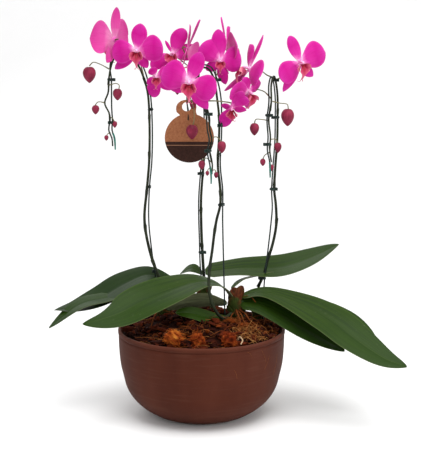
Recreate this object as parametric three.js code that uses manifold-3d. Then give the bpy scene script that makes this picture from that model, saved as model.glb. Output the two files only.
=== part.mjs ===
// A potted orchid: a round bowl with potting mix and four flowering plants, each spike tied to a
// bent wire. Millimetres, +Z up, -Y is the front. The origin is the centre of the bowl's flat base.
import * as THREE from 'three';
import { mergeVertices } from 'three/addons/utils/BufferGeometryUtils.js';
import Module from 'manifold-3d';

const wasm = await Module();
wasm.setup();

// Driving dimensions
const gap = 0.5;                 // clearance that each piece keeps to the pieces placed before it
const rimRadius = 140;
const bowlHeight = 147;
const bowlWall = 5;
const bowlFloor = 8;
const baseRadius = 62;
const bowlSides = 36;
const mixSides = 24;
const mixMound = 22;             // how far the middle of the mix stands above the rim
const mixDrop = 7;               // how far the mix lies below the rim at the wall
const stemRadius = 2.2;
const pedicelRadius = 0.9;
const wireRadius = 1.3;
const clipRadius = 5.6;
const clipHeight = 6;
const leafThickness = 2.4;
const petalThickness = 1.2;
const hubRadius = 5;
const tagRadius = 41;
const tagThickness = 1.2;
const tagHoleRadius = 7.5;

// Materials
const finish = (color, roughness) => new THREE.MeshStandardMaterial({ color, roughness, metalness: 0 });
const bowlBrown = finish('#55332a', 0.7);
const mixBrown = finish('#3b1f15', 1);
const chipBrown = finish('#8a4a26', 0.95);
const crownGreen = finish('#4c5a2b', 0.6);
const leafGreen = finish('#27441b', 0.45);
const spikeGreen = finish('#2c3320', 0.55);
const wireGreen = finish('#1d2a24', 0.5);
const clipGreen = finish('#1c2f28', 0.5);
const petalPink = finish('#c92a9a', 0.55);
const cardBrown = finish('#a5694b', 0.85);

// Solids
const vector = ([x, y, z]) => new THREE.Vector3(x, y, z);
const curveThrough = (points) => new THREE.CatmullRomCurve3(points.map(vector), false, 'centripetal');

function welded(geometry) {
  const bare = geometry.clone();
  bare.deleteAttribute('normal');
  bare.deleteAttribute('uv');
  return mergeVertices(bare, 1e-3);
}

// A closed geometry as a solid, with its surface moved out along the normals by `offset`.
function solidOf(geometry, offset = 0) {
  const mesh = welded(geometry);
  mesh.computeVertexNormals();
  const { position, normal } = mesh.attributes;
  const vertProperties = new Float32Array(position.count * 3);
  for (let i = 0; i < position.count; i += 1) {
    vertProperties[3 * i] = position.getX(i) + offset * normal.getX(i);
    vertProperties[3 * i + 1] = position.getY(i) + offset * normal.getY(i);
    vertProperties[3 * i + 2] = position.getZ(i) + offset * normal.getZ(i);
  }
  const triVerts = new Uint32Array(mesh.index.array);
  return new wasm.Manifold(new wasm.Mesh({ numProp: 3, vertProperties, triVerts }));
}

function geometryOf(solid) {
  const { vertProperties, triVerts, numProp } = solid.getMesh();
  const positions = new Float32Array((vertProperties.length / numProp) * 3);
  for (let i = 0; i < positions.length / 3; i += 1) {
    for (let axis = 0; axis < 3; axis += 1) positions[3 * i + axis] = vertProperties[numProp * i + axis];
  }
  const geometry = new THREE.BufferGeometry();
  geometry.setAttribute('position', new THREE.BufferAttribute(positions, 3));
  geometry.setIndex(new THREE.BufferAttribute(new Uint32Array(triVerts), 1));
  geometry.computeVertexNormals();
  return geometry;
}

const joined = (geometries) => geometryOf(geometries.map((each) => solidOf(each)).reduce((a, b) => a.add(b)));
const largest = (solid) => solid.decompose().reduce((a, b) => (b.volume() > a.volume() ? b : a));

const orchid = new THREE.Group();
const placed = [];

function overlaps(boxA, boxB) {
  return [0, 1, 2].every((axis) => boxA.min[axis] < boxB.max[axis] && boxB.min[axis] < boxA.max[axis]);
}

// Adds a named piece, cut clear of all the pieces that were added before it.
function addPiece(name, geometry, material) {
  let solid = solidOf(geometry);
  for (const other of placed) {
    if (overlaps(solid.boundingBox(), other.boundingBox())) solid = solid.subtract(other);
  }
  const mesh = new THREE.Mesh(geometryOf(largest(solid)), material);
  mesh.name = name;
  orchid.add(mesh);
  placed.push(solidOf(geometry).add(solidOf(geometry, gap)));
}

// A round rod along a curve.
function rod(points, radius, sides = 5) {
  const steps = Math.round(1.5 * points.length);
  const section = new THREE.Shape();
  for (let i = 0; i < sides; i += 1) {
    const angle = (2 * Math.PI * i) / sides;
    const step = i === 0 ? 'moveTo' : 'lineTo';
    section[step](radius * Math.cos(angle), radius * Math.sin(angle));
  }
  return new THREE.ExtrudeGeometry(section, { steps, extrudePath: curveThrough(points) });
}

// A thin blade: a box bent so that place(along, across, height) says where each point goes.
// along runs 0..1, across -1..1, height -0.5..0.5.
function blade(stepsAlong, stepsAcross, place) {
  const geometry = welded(new THREE.BoxGeometry(1, 1, 1, stepsAlong, stepsAcross, 1));
  const { position } = geometry.attributes;
  for (let i = 0; i < position.count; i += 1) {
    const point = place(position.getX(i) + 0.5, 2 * position.getY(i), position.getZ(i));
    position.setXYZ(i, point.x, point.y, point.z);
  }
  return geometry;
}

function turned(profile, sides) {
  return new THREE.LatheGeometry(profile.map(([r, z]) => new THREE.Vector2(r, z)), sides).rotateX(Math.PI / 2);
}

// Bowl: the outer wall from the base up to the lip, then the inner wall down again.
const bowlOuter = [[baseRadius, 0], [78, 4.5], [93, 13], [109, 24.5], [121, 39], [130.5, 60], [136.5, 96], [139.4, 136]];
const bowlInner = bowlOuter.slice(1, 7).reverse().map(([r, z]) => [r - bowlWall, z + bowlWall * 0.6]);
const bowlProfile = [[0, 0], ...bowlOuter, [rimRadius, bowlHeight - 1.5], [rimRadius - 1.5, bowlHeight],
  [rimRadius - bowlWall, bowlHeight], ...bowlInner, [0, bowlFloor]];
addPiece('bowl', turned(bowlProfile, bowlSides), bowlBrown);

// Plant stems: short leaning sheathed stumps, buried in the mix.
const crowns = {
  left: { foot: [-66, 40, 120], head: [-70, 41, 214], radius: 11 },
  back: { foot: [4, 74, 120], head: [4, 70, 214], radius: 11 },
  front: { foot: [60, 6, 120], head: [56, 2, 222], radius: 11 },
  right: { foot: [99, 62, 120], head: [96, 58, 206], radius: 11 },
};
for (const [side, { foot, head, radius }] of Object.entries(crowns)) {
  const low = vector(foot);
  const axis = vector(head).sub(low);
  const swell = [[0, 0], [0.8, 0.02], [1, 0.45], [0.95, 0.75], [0.7, 0.95], [0, 1]];
  const stump = turned(swell.map(([r, t]) => [r * radius, t * axis.length()]), 10);
  stump.applyQuaternion(new THREE.Quaternion().setFromUnitVectors(new THREE.Vector3(0, 0, 1), axis.normalize()));
  addPiece(`crown_${side}`, stump.translate(low.x, low.y, low.z), crownGreen);
}

// Flower spikes: the stem's route, the pedicels, and the buds as [centre, height, width].
const spikes = {
  left: {
    route: [[-68, 39, 214], [-76, 34, 234], [-88, 33, 272], [-96, 30, 324], [-91, 28, 380], [-87, 26, 426],
      [-86, 24, 492], [-89, 20, 542], [-102, 14, 581], [-117, 9, 603], [-132, 4, 606], [-144, 0, 588],
      [-150, -2, 560], [-151, -3, 540], [-157, -4, 522], [-150, -4, 506], [-149, -4, 494], [-151, -4, 478],
      [-146, -4, 465], [-145, -4, 452]],
    pedicels: [[[-149, -1, 577], [-164, -2, 585], [-175, -3, 588], [-181, -4, 582]],
      [[-150, -3, 551], [-138, -4, 554], [-133, -4, 551], [-134, -4, 544]],
      [[-157, -4, 523], [-168, -4, 524], [-173, -4, 518]],
      [[-126, 5, 607], [-130, 7, 616]], [[-95, 17, 567], [-99, 6, 588]]],
    buds: [[[-181, -4, 569], 26, 21], [[-136, -4, 537], 19, 15], [[-172, -4, 512], 15, 12],
      [[-141, -4, 488], 11, 8], [[-155, -5, 466], 9, 7]],
  },
  back: {
    route: [[4, 70, 212], [2, 66, 245], [0, 64, 284], [-1, 62, 319], [-1, 60, 357], [2, 58, 400], [4, 56, 423],
      [7, 54, 457], [8, 50, 507], [2, 46, 550], [-10, 42, 566], [-19, 38, 552], [-20, 36, 530]],
    pedicels: [[[-14, 40, 563], [-30, 39, 562], [-38, 38, 550]], [[-20, 37, 534], [-15, 35, 527]],
      [[3, 47, 547], [-14, 46, 580], [-30, 40, 604]],
      [[-20, 36, 532], [-15, 26, 520], [-12, 20, 506], [-12, 18, 493], [-14, 15, 485]]],
    buds: [[[-14, 33, 518], 17, 11], [[-40, 38, 540], 12, 9], [[-15.5, 14, 474.5], 24, 19.5]],
  },
  front: {
    route: [[50, -8, 172], [34, -30, 170], [20, -40, 191], [13, -42, 219], [13, -30, 248], [18, -16, 282],
      [21, -10, 306], [25, -10, 331], [31, -10, 356], [31, -10, 381], [27, -10, 422], [29, -12, 471],
      [29, -14, 499], [26, -18, 528], [21, -24, 560], [12, -34, 578], [0, -44, 580], [-4, -52, 560], [4, -54, 533],
      [12, -54, 508], [14, -54, 483], [17, -54, 467], [14, -54, 449], [18, -54, 427], [17, -54, 412]],
    pedicels: [[[16, -54, 469], [24, -53, 472], [32, -52, 465]], [[18, -54, 430], [8, -53, 438], [1, -52, 434]],
      [[-4, -53, 560], [-10, -58, 561], [-16, -62, 560]], [[9, -54, 529], [30, -32, 527], [46, -20, 521]],
      [[21, -24, 562], [28, -16, 575]]],
    buds: [[[33, -52, 456], 19, 14], [[1, -52, 427], 15, 11], [[24, -54, 411], 10, 7], [[10, -56, 414], 8, 6]],
  },
  right: {
    route: [[97, 57, 204], [101, 52, 214], [107, 46, 230], [113, 42, 257], [119, 40, 276], [126, 38, 314],
      [125, 36, 349], [122, 34, 374], [123, 32, 408], [126, 30, 459], [126, 26, 499], [125, 18, 534],
      [121, 8, 558], [117, -2, 565], [113, -14, 552], [113, -20, 525], [109, -22, 497], [112, -22, 469],
      [111, -22, 448], [114, -22, 428]],
    pedicels: [[[115, -19, 526], [127, -17, 523], [139, -16, 521], [141, -16, 512]],
      [[110, -22, 495], [98, -22, 497], [88, -22, 497], [86, -22, 490]],
      [[112, -22, 465], [120, -22, 465], [124, -22, 459]], [[111, -22, 444], [103, -22, 439], [100, -22, 433]],
      [[118, 2, 563], [107, 6, 569], [95, 9, 577]], [[113, -18, 530], [106, -18, 538], [90, -8, 541]],
      [[122, 4, 560], [136, 16, 566], [156, 10, 580]]],
    buds: [[[140, -16, 501], 28, 21], [[86, -22, 482], 20, 15], [[124, -22, 452], 17, 12],
      [[100, -22, 428], 12, 9], [[114, -22, 419], 11, 8]],
  },
};
for (const [side, { route, pedicels, buds }] of Object.entries(spikes)) {
  const stem = rod(route, stemRadius);
  const stalks = pedicels.map((points) => rod(points, pedicelRadius, 4));
  const closedBuds = buds.map(([[x, y, z], height, width]) => (
    new THREE.SphereGeometry(0.5, 6, 4).rotateX(Math.PI / 2).scale(width, width, height).translate(x, y, z)));
  addPiece(`spike_${side}`, joined([stem, ...stalks, ...closedBuds]), spikeGreen);
}

// Support wires, each from the mix up beside its spike and over the arch.
const wires = {
  left: [[-74, 38, 120], [-76, 38, 200], [-80, 37, 236], [-85, 36, 275], [-89, 33, 324], [-87, 29, 380],
    [-82.5, 27, 426], [-81.5, 25, 492], [-84, 22, 535], [-93, 17, 575], [-110, 12, 604], [-130, 8, 612],
    [-143, 4, 600], [-148, 1, 580], [-146, 0, 562], [-146, 0, 540], [-146, 0, 512], [-145, -1, 494],
    [-146, 0, 478], [-142, -1, 465], [-141, -1, 446]],
  back: [[0, 64, 120], [0, 64, 200], [-3, 64, 245], [-4, 61, 284], [-5, 58, 319], [-5, 57, 357], [-2, 55, 400],
    [0, 53, 423], [3, 51, 457], [4, 47, 507], [-1, 43, 545], [-11, 38, 560], [-21, 34, 550], [-24, 32, 525],
    [-22, 33, 505], [-22, 31, 492]],
  front: [[39, -12, 120], [39, -13, 165], [37, -12, 246], [35, -12, 330], [35, -12, 352], [35, -12, 381],
    [31, -12, 422], [33, -14, 471], [33, -16, 502], [32, -18, 530], [26, -26, 560], [15, -37, 582],
    [-1, -48, 584], [-8, -55, 562], [0, -57, 535], [8, -57, 508], [10, -57, 483], [13, -57, 467], [10, -57, 449],
    [14, -57, 427], [16, -57, 410], [16, -56, 397]],
  right: [[104, 40, 120], [106, 40, 200], [108, 39, 232], [112, 38, 268], [116, 37, 306], [119, 36, 345],
    [117.5, 34, 374], [119, 31, 408], [122, 29, 459], [122, 24, 499], [121, 15, 532], [117, 5, 558],
    [113, -4, 565], [109, -14, 552], [109, -22, 525], [106, -25, 497], [108, -25, 469], [107, -25, 448],
    [111, -25, 428], [112, -24, 403]],
};
for (const [side, route] of Object.entries(wires)) {
  addPiece(`wire_${side}`, rod(route, wireRadius), wireGreen);
}

// Clips: small clips that hold a spike to its wire.
const clips = {
  left_foot: [-79, 36, 236], left_low: [-89, 29, 380], left_high: [-84, 24, 510], left_hang: [-148, -1, 560],
  left_tip: [-147, -3, 491], back_foot: [-1, 65, 262], back_top: [0, 57, 400], front_foot: [37, -25, 169],
  front_low: [32, -11, 356], front_mid: [31, -13, 487], front_arch: [24, -25, 561], front_hang: [10, -56, 508],
  front_tip: [12, -56, 450], right_foot: [105, 42, 222], right_low: [119, 34, 376], right_mid: [124, 25, 497],
  right_arch: [119, 7, 559], right_hang: [108, -24, 504], right_tip: [109, -24, 457],
};
for (const [place, [x, y, z]] of Object.entries(clips)) {
  const body = new THREE.CylinderGeometry(clipRadius, clipRadius, clipHeight, 6).rotateX(Math.PI / 2);
  addPiece(`clip_${place}`, body.translate(x, y, z), clipGreen);
}

// Leaves: the midrib's route, the half width, and how far the blade is rolled round its midrib
// at the base and at the tip, in degrees.
const leaves = {
  front_left: { rib: [[53, 6, 192], [34, -2, 217], [-2, -20, 229], [-43, -42, 222], [-91, -62, 207],
    [-137, -80, 188], [-190, -95, 176]], halfWidth: 37, roll: [0, -50], fold: 0.12 },
  front_right: { rib: [[65, 8, 197], [101, 0, 207], [155, -25, 196], [213, -60, 172], [255, -90, 145],
    [294, -112, 123], [326, -125, 114]], halfWidth: 35, roll: [10, 33], fold: 0.1 },
  back_right: { rib: [[6, 62, 228], [66, 62, 235], [134, 60, 237], [185, 55, 253], [234, 50, 279]],
    halfWidth: 35, roll: [20, 22], fold: 0.15 },
  back_left: { rib: [[-40, 42, 208], [-88, 42, 228], [-130, 35, 214], [-172, 22, 192], [-213, 8, 179],
    [-247, 0, 176]], halfWidth: 32, roll: [-28, -12], fold: 0.15 },
  low_left: { rib: [[-71, 36, 204], [-122, 28, 200], [-163, 12, 193], [-203, -4, 186], [-254, -20, 150]],
    halfWidth: 21, roll: [-10, -10], fold: 0.15 },
  low_right: { rib: [[66, 0, 190], [92, -6, 189], [130, -22, 176], [182, -50, 150], [232, -80, 127]],
    halfWidth: 27, roll: [30, 20], fold: 0.12 },
  middle_right: { rib: [[106, 50, 179], [168, 38, 178], [225, 15, 161], [265, -8, 143], [296, -25, 122]],
    halfWidth: 30, roll: [8, 24], fold: 0.12 },
  small_front: { rib: [[47, -18, 166], [9, -34, 172], [-17, -44, 181], [-42, -52, 184]],
    halfWidth: 13, roll: [-40, -45], fold: 0.2 },
  small_left: { rib: [[42, -2, 187], [12, -12, 194], [-20, -22, 194], [-62, -30, 187]],
    halfWidth: 20, roll: [45, 60], fold: 0.15 },
  small_back: { rib: [[2, 76, 221], [-17, 82, 230], [-38, 86, 220]], halfWidth: 12, roll: [-20, -20], fold: 0.2 },
  inner_right: { rib: [[51, 20, 209], [69, 40, 219], [103, 52, 225], [152, 60, 231]],
    halfWidth: 15, roll: [-20, -10], fold: 0.15 },
};

const up = new THREE.Vector3(0, 0, 1);

// Share of the full width at a place along a leaf: a narrow foot, parallel middle and rounded tip.
function leafWidth(along) {
  const foot = 0.4 + 0.6 * THREE.MathUtils.smoothstep(along, 0, 0.5);
  const tip = along < 0.5 ? 1 : (1 - ((along - 0.5) / 0.5) ** 2) ** 0.75;
  return Math.max(0.1, foot * tip);
}

for (const [place, { rib, halfWidth, roll, fold }] of Object.entries(leaves)) {
  const midrib = curveThrough(rib);
  const leaf = blade(9, 2, (along, across, height) => {
    const tangent = midrib.getTangentAt(along);
    const angle = THREE.MathUtils.degToRad(THREE.MathUtils.lerp(roll[0], roll[1], along));
    const side = up.clone().cross(tangent).normalize().applyAxisAngle(tangent, angle);
    const normal = tangent.clone().cross(side);
    const width = halfWidth * leafWidth(along);
    return midrib.getPointAt(along)
      .addScaledVector(side, across * width)
      .addScaledVector(normal, fold * Math.abs(across) * width + height * leafThickness);
  });
  addPiece(`leaf_${place}`, leaf, leafGreen);
}

// Flowers. The tepals are the dorsal sepal, the left and right sepals, then the left and right
// petals. Each kind has a number of steps along it, how far its tip bends back and where it is widest.
const tepalKinds = [
  { steps: 3, bend: 4, widest: 0.55 },
  { steps: 3, bend: 5, widest: 0.5 },
  { steps: 3, bend: 5, widest: 0.5 },
  { steps: 4, bend: 6, widest: 0.58 },
  { steps: 4, bend: 6, widest: 0.58 },
];

function tepal({ turn, length, halfWidth, lean, bend, widest, steps }) {
  const shape = (along) => (along < widest
    ? THREE.MathUtils.lerp(0.22, 1, Math.sin((Math.PI / 2) * (along / widest)))
    : Math.max(0.2, Math.sqrt(1 - ((along - widest) / (1 - widest)) ** 2)));
  const flat = blade(steps, 2, (along, across, height) => {
    const out = THREE.MathUtils.lerp(hubRadius - 2, length, along);
    const rise = Math.tan(THREE.MathUtils.degToRad(lean)) * out - bend * along ** 2 - 1.5 * across ** 2 * shape(along);
    return new THREE.Vector3(out, across * halfWidth * shape(along), rise + height * petalThickness);
  });
  return flat.rotateZ(THREE.MathUtils.degToRad(turn));
}

function flowerGeometry(tepals, size) {
  const parts = tepals.map(([turn, length, halfWidth, lean], i) => (
    tepal({ ...tepalKinds[i], turn, length, halfWidth, lean })));
  const hub = new THREE.CylinderGeometry(hubRadius - 1.5, hubRadius, 9, 8).rotateX(Math.PI / 2).translate(0, 0, 2.5);
  const lip = blade(3, 2, (along, across, height) => {
    const width = 11 - 7 * along;
    return new THREE.Vector3(across * width, -3 - 26 * along,
      3 + 9 * Math.sin(Math.PI * along * 0.8) + 6 * Math.abs(across) * (1 - along) + height * petalThickness);
  });
  return joined([...parts, hub, lip]).scale(size, size, size);
}

// Each flower's centre, the way it faces (degrees to the right of the front, and up), its size, and
// its tepals in the order above: direction round the flower, length, half width, lean to the front.
const flowers = {
  left_outer: { centre: [-141, 8, 624], faces: [-130, 0], size: 1.2,
    tepals: [[95, 43.5, 9.5, 4], [240, 34, 9, 0], [306.5, 37.5, 9, -4], [172, 44, 22, 27], [3, 44, 22, 10]] },
  left_front: { centre: [-103, -12, 608], faces: [-5, -5], size: 1,
    tepals: [[81, 42.5, 13, 4], [220, 50, 9, -4], [297, 33.5, 9, -4], [190.5, 41, 19.5, 10], [0.5, 42.5, 21.5, 10]] },
  back_left: { centre: [-48, 55, 600], faces: [-10, 10], size: 0.95,
    tepals: [[121.5, 28.5, 3, 0], [264.5, 34, 10, -4], [12.5, 46.5, 15, -2], [210, 45.5, 13, 5], [67.5, 48.5, 14.5, 8]] },
  left_low: { centre: [-75, 15, 565], faces: [10, -10], size: 0.9,
    tepals: [[118, 17.5, 9, 10], [232.5, 22, 9, 10], [319.5, 42, 9.5, -4], [267.5, 40, 13, 5], [10.5, 31.5, 13, 0]] },
  centre_front: { centre: [-18, -66, 560], faces: [-5, -5], size: 1.11,
    tepals: [[68, 44.5, 11.5, 4], [202, 31, 10, -4], [302, 47.5, 10, 0], [163, 41.5, 21.5, 10], [334, 40.5, 19, 8]] },
  back_centre: { centre: [-23, 36, 609], faces: [80, -24], size: 1.1,
    tepals: [[87.5, 47, 9, 5], [235, 30, 9, 20], [306.5, 34, 9, 0], [180, 39.5, 16, 40], [54, 38, 14, -10]] },
  centre_high: { centre: [30, -8, 591], faces: [5, 0], size: 0.98,
    tepals: [[93, 51, 12.7, 4], [215, 27.5, 9, -4], [285, 41, 9, -4], [141, 40.5, 20, 10], [358.5, 36, 21, 10]] },
  centre_back: { centre: [41, 28, 610], faces: [86, 6], size: 1.15,
    tepals: [[110, 47, 8, 3], [240.5, 39, 9, 15], [279, 37.5, 9, 5], [178, 42, 19, 30], [56, 35.5, 10, 20]] },
  right_inner: { centre: [78, 5, 577], faces: [-72, 20], size: 1.1,
    tepals: [[92.5, 54.5, 7, 0], [240.5, 47.5, 7, 25], [238, 40, 7, 20], [118, 41, 11, 15], [347, 38.5, 20, 0]] },
  right_low: { centre: [77, -15, 542], faces: [45, -25], size: 0.95,
    tepals: [[135, 34.5, 11, 4], [231, 38, 10, -4], [303.5, 46, 10, -4], [180, 48, 18, 10], [31, 28, 14, 10]] },
  right_lowest: { centre: [50, -28, 518], faces: [-10, -35], size: 0.85,
    tepals: [[56, 42.5, 11, 4], [188, 22.5, 8, -4], [328.5, 29, 9, -4], [243.5, 46, 13, 20], [32, 38, 12, 10]] },
  right_outer: { centre: [160, -5, 589], faces: [25, -5], size: 1.02,
    tepals: [[118, 46, 10.5, 4], [244, 54, 9, -4], [319, 38, 9, -4], [220.5, 44, 18, 10], [19, 46, 22, 10]] },
};
for (const [place, { centre, faces, size, tepals }] of Object.entries(flowers)) {
  const [turn, rise] = faces.map(THREE.MathUtils.degToRad);
  // Built facing +Z with +Y up: tip it upright to face -Y, then rise and turn it.
  const flower = flowerGeometry(tepals, size)
    .rotateX(Math.PI / 2 - rise)
    .rotateZ(turn)
    .translate(...centre);
  addPiece(`flower_${place}`, flower, petalPink);
}

// Tag: a round card with a neck and a hole, hung on the tip of the back wire.
const tagOutline = new THREE.Shape();
tagOutline.absarc(0, 0, tagRadius, 0.62 * Math.PI, 0.4 * Math.PI, false);
tagOutline.quadraticCurveTo(11, 44, 12, 52);
tagOutline.bezierCurveTo(12, 68, -23, 68, -22, 48);
tagOutline.closePath();
const tagHole = new THREE.Path();
tagHole.absarc(-4.5, 52, tagHoleRadius, 0, 2 * Math.PI, true);
tagOutline.holes.push(tagHole);
const tag = new THREE.ExtrudeGeometry(tagOutline, { depth: tagThickness, bevelEnabled: false, curveSegments: 10 });
addPiece('tag', tag.rotateX(Math.PI / 2).translate(-20, 33, 462), cardBrown);

// Husk chips: rough blocks lying in the mix behind the front of the rim.
const chips = {
  left: { centre: [-43, -106, 154], size: [34, 18, 24], lean: 0.35 },
  centre: { centre: [-5, -108, 152], size: [23, 17, 24], lean: -0.3 },
  right: { centre: [45, -106, 153], size: [24, 18, 25], lean: 0.15 },
};
for (const [place, { centre, size, lean }] of Object.entries(chips)) {
  const chip = new THREE.IcosahedronGeometry(0.58, 1).scale(...size).rotateY(lean).rotateX(lean);
  addPiece(`husk_chip_${place}`, chip.translate(...centre), chipBrown);
}

// Potting mix: it fills the bowl and rises to a low mound round the plants.
const mixRadius = rimRadius - bowlWall - 2.4;
const mixSide = bowlInner.slice().reverse().map(([r, z]) => [r - 2, z + 1.5]);
const mixTop = [[mixRadius, bowlHeight - mixDrop]];
for (let step = 1; step <= 4; step += 1) {
  const share = step / 4;
  const rise = THREE.MathUtils.smoothstep(share, 0, 0.8);
  mixTop.push([mixRadius * (1 - share), bowlHeight - mixDrop + (mixDrop + mixMound) * rise]);
}
addPiece('potting_mix', turned([[0, bowlFloor + 1], ...mixSide, ...mixTop], mixSides), mixBrown);

export default orchid;
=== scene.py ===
import math
import random

import bmesh
import bpy
from mathutils import Matrix, Vector, noise


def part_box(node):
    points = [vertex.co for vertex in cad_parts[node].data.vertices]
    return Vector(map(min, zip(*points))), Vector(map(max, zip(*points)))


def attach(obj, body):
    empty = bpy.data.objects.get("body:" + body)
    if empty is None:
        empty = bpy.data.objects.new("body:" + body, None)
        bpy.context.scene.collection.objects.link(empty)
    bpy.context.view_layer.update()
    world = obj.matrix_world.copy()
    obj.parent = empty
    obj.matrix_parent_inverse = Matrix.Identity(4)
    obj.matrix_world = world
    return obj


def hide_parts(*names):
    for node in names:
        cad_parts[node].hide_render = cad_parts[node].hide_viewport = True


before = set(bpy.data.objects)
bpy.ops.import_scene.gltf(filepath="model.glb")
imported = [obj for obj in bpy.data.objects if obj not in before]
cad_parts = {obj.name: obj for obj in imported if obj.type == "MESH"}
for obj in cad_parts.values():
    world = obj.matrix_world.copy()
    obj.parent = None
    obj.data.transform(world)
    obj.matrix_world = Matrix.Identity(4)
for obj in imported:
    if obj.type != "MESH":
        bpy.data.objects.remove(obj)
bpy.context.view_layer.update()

# A potted orchid: four plants in a round bowl, each spike tied to a bent wire.
# Routes and sizes are in millimetres and turned into metres by mm. -Y is the front.
mm = 0.001
up = Vector((0, 0, 1))


def smooth(low, high, value):
    share = min(max((value - low) / (high - low), 0.0), 1.0)
    return share * share * (3 - 2 * share)


def mix(a, b, share):
    return a + (b - a) * share


def colour(code):
    channels = [int(code[i:i + 2], 16) / 255 for i in (0, 2, 4)]
    return [*(c / 12.92 if c <= 0.04045 else ((c + 0.055) / 1.055) ** 2.4 for c in channels), 1]


# Shaders

class Value:
    # a socket in a shader: maths on it is written as an expression

    def __init__(self, shader, socket):
        self.shader = shader
        self.socket = socket

    def maths(self, operation, *others):
        inputs = dict(enumerate((self, *others)))
        return self.shader.node("ShaderNodeMath", {"operation": operation}, inputs)

    def __add__(self, other):
        return self.maths("ADD", other)

    def __sub__(self, other):
        return self.maths("SUBTRACT", other)

    def __rsub__(self, other):
        return self.shader.node("ShaderNodeMath", {"operation": "SUBTRACT"}, {0: other, 1: self})

    def __mul__(self, other):
        return self.maths("MULTIPLY", other)

    __radd__ = __add__
    __rmul__ = __mul__

    def size(self):
        return self.maths("ABSOLUTE")

    def step(self, low, high):
        return self.shader.node("ShaderNodeMapRange", {"interpolation_type": "SMOOTHSTEP"},
                                {"Value": self, "From Min": low, "From Max": high})


class Shader:
    # a material with one Principled shader, whose plain numbers are given by name

    def __init__(self, name, **plain):
        self.material = bpy.data.materials.new(name)
        self.material.use_nodes = True
        self.tree = self.material.node_tree
        self.surface = self.tree.nodes["Principled BSDF"]
        for key, value in plain.items():
            self.surface.inputs[key.replace("_", " ")].default_value = value

    def node(self, kind, settings=None, inputs=None, output=0):
        made = self.tree.nodes.new(kind)
        for key, value in (settings or {}).items():
            if key == "stops":
                for place, tint in value[2:]:
                    made.color_ramp.elements.new(place)
                for element, (place, tint) in zip(made.color_ramp.elements, value):
                    element.position = place
                    element.color = colour(tint)
            else:
                setattr(made, key, value)
        for key, value in (inputs or {}).items():
            self.feed(made.inputs[key], value)
        return Value(self, made.outputs[output])

    def feed(self, socket, value):
        if isinstance(value, Value):
            self.tree.links.new(value.socket, socket)
        else:
            socket.default_value = value

    def set(self, **sockets):
        for key, value in sockets.items():
            self.feed(self.surface.inputs[key.replace("_", " ")], value)
        return self.material

    def place(self):
        return self.node("ShaderNodeTexCoord", output="Object")

    def stretched(self, vector, scale):
        return self.node("ShaderNodeMapping", None, {"Vector": vector, "Scale": scale})

    def axes(self, vector):
        outputs = self.node("ShaderNodeSeparateXYZ", None, {0: vector}).socket.node.outputs
        return [Value(self, each) for each in outputs]

    def blade(self):
        # the piece's own map: along it, across it, and how far from its middle line
        along, across, _ = self.axes(self.node("ShaderNodeTexCoord", output="UV"))
        return along, across, (across - 0.5).size() * 2.0

    def noise(self, vector, scale, detail=4.0, roughness=0.55):
        return self.node("ShaderNodeTexNoise", None,
                         {"Vector": vector, "Scale": scale, "Detail": detail, "Roughness": roughness})

    def streaks(self, place, scale, detail, roughness=0.55):
        return self.noise(self.stretched(place, scale), 1.0, detail, roughness)

    def lines(self, along, across, detail, roughness=0.55, scale=1.0):
        joined = self.node("ShaderNodeCombineXYZ", None, {0: along, 1: across})
        return self.noise(joined, scale, detail, roughness)

    def ramp(self, factor, *stops):
        return self.node("ShaderNodeValToRGB", {"stops": stops}, {"Fac": factor})

    def blend(self, factor, first, second):
        first, second = (colour(each) if isinstance(each, str) else each for each in (first, second))
        return self.node("ShaderNodeMix", {"data_type": "RGBA"}, {0: factor, 6: first, 7: second}, output=2)

    def bump(self, height, strength, distance):
        return self.node("ShaderNodeBump", None,
                         {"Height": height, "Strength": strength, "Distance": distance})

    def tone(self):
        return self.node("ShaderNodeAttribute", {"attribute_name": "tone"}, output="Fac")


def bowlFinish():
    shader = Shader("mouldedBrown", Specular_IOR_Level=0.12)
    place = shader.place()
    z = shader.axes(place)[2]
    cloud = shader.noise(place, 9.0, 5.0)
    streak = shader.streaks(place, (30.0, 30.0, 5.0), 4.0)
    brushed = shader.streaks(place, (16.0, 16.0, 260.0), 3.0)
    speck = shader.noise(place, 420.0, 2.0)
    scratch = shader.streaks(place, (60.0, 60.0, 900.0), 1.0).step(0.66, 0.72)
    shade = shader.ramp(cloud * 0.55 + streak * 0.45, (0.3, "3d170a"), (0.5, "471e10"), (0.72, "4f2517"))
    dusted = shader.blend(brushed.step(0.5, 0.8) * 0.14, shade, "6b4a3d")
    # painted highlight: the top of the rim is made lighter where it faces the light from above
    rimTopHighlight = shader.blend(z.step(0.141, 0.1465) * 0.3, dusted, "683a2b")
    marked = shader.blend(scratch * 0.22, rimTopHighlight, "3c1c14")
    height = cloud * 0.4 + speck * 0.25 + brushed * 0.35
    return shader.set(Base_Color=marked, Roughness=0.6 + cloud * 0.14,
                      Normal=shader.bump(height, 0.35, 0.0012))


def mixFinish(name, *stops):
    # loose husk: each scrap has its own tone, and fibres run through it
    shader = Shader(name, Specular_IOR_Level=0.08, Roughness=0.92)
    place = shader.place()
    grain = shader.streaks(place, (220.0, 220.0, 700.0), 4.0, 0.7)
    lumps = shader.noise(place, 120.0, 4.0, 0.65)
    base = shader.ramp(shader.tone() * 0.75 + lumps * 0.25, *stops)
    fibres = shader.blend(grain.step(0.45, 0.75) * 0.45, base, "2a0f07")
    lit = shader.blend(lumps.step(0.55, 0.8) * 0.22, fibres, "8f4c22")
    return shader.set(Base_Color=lit, Normal=shader.bump(grain * 0.6 + lumps, 0.9, 0.0018))


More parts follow.
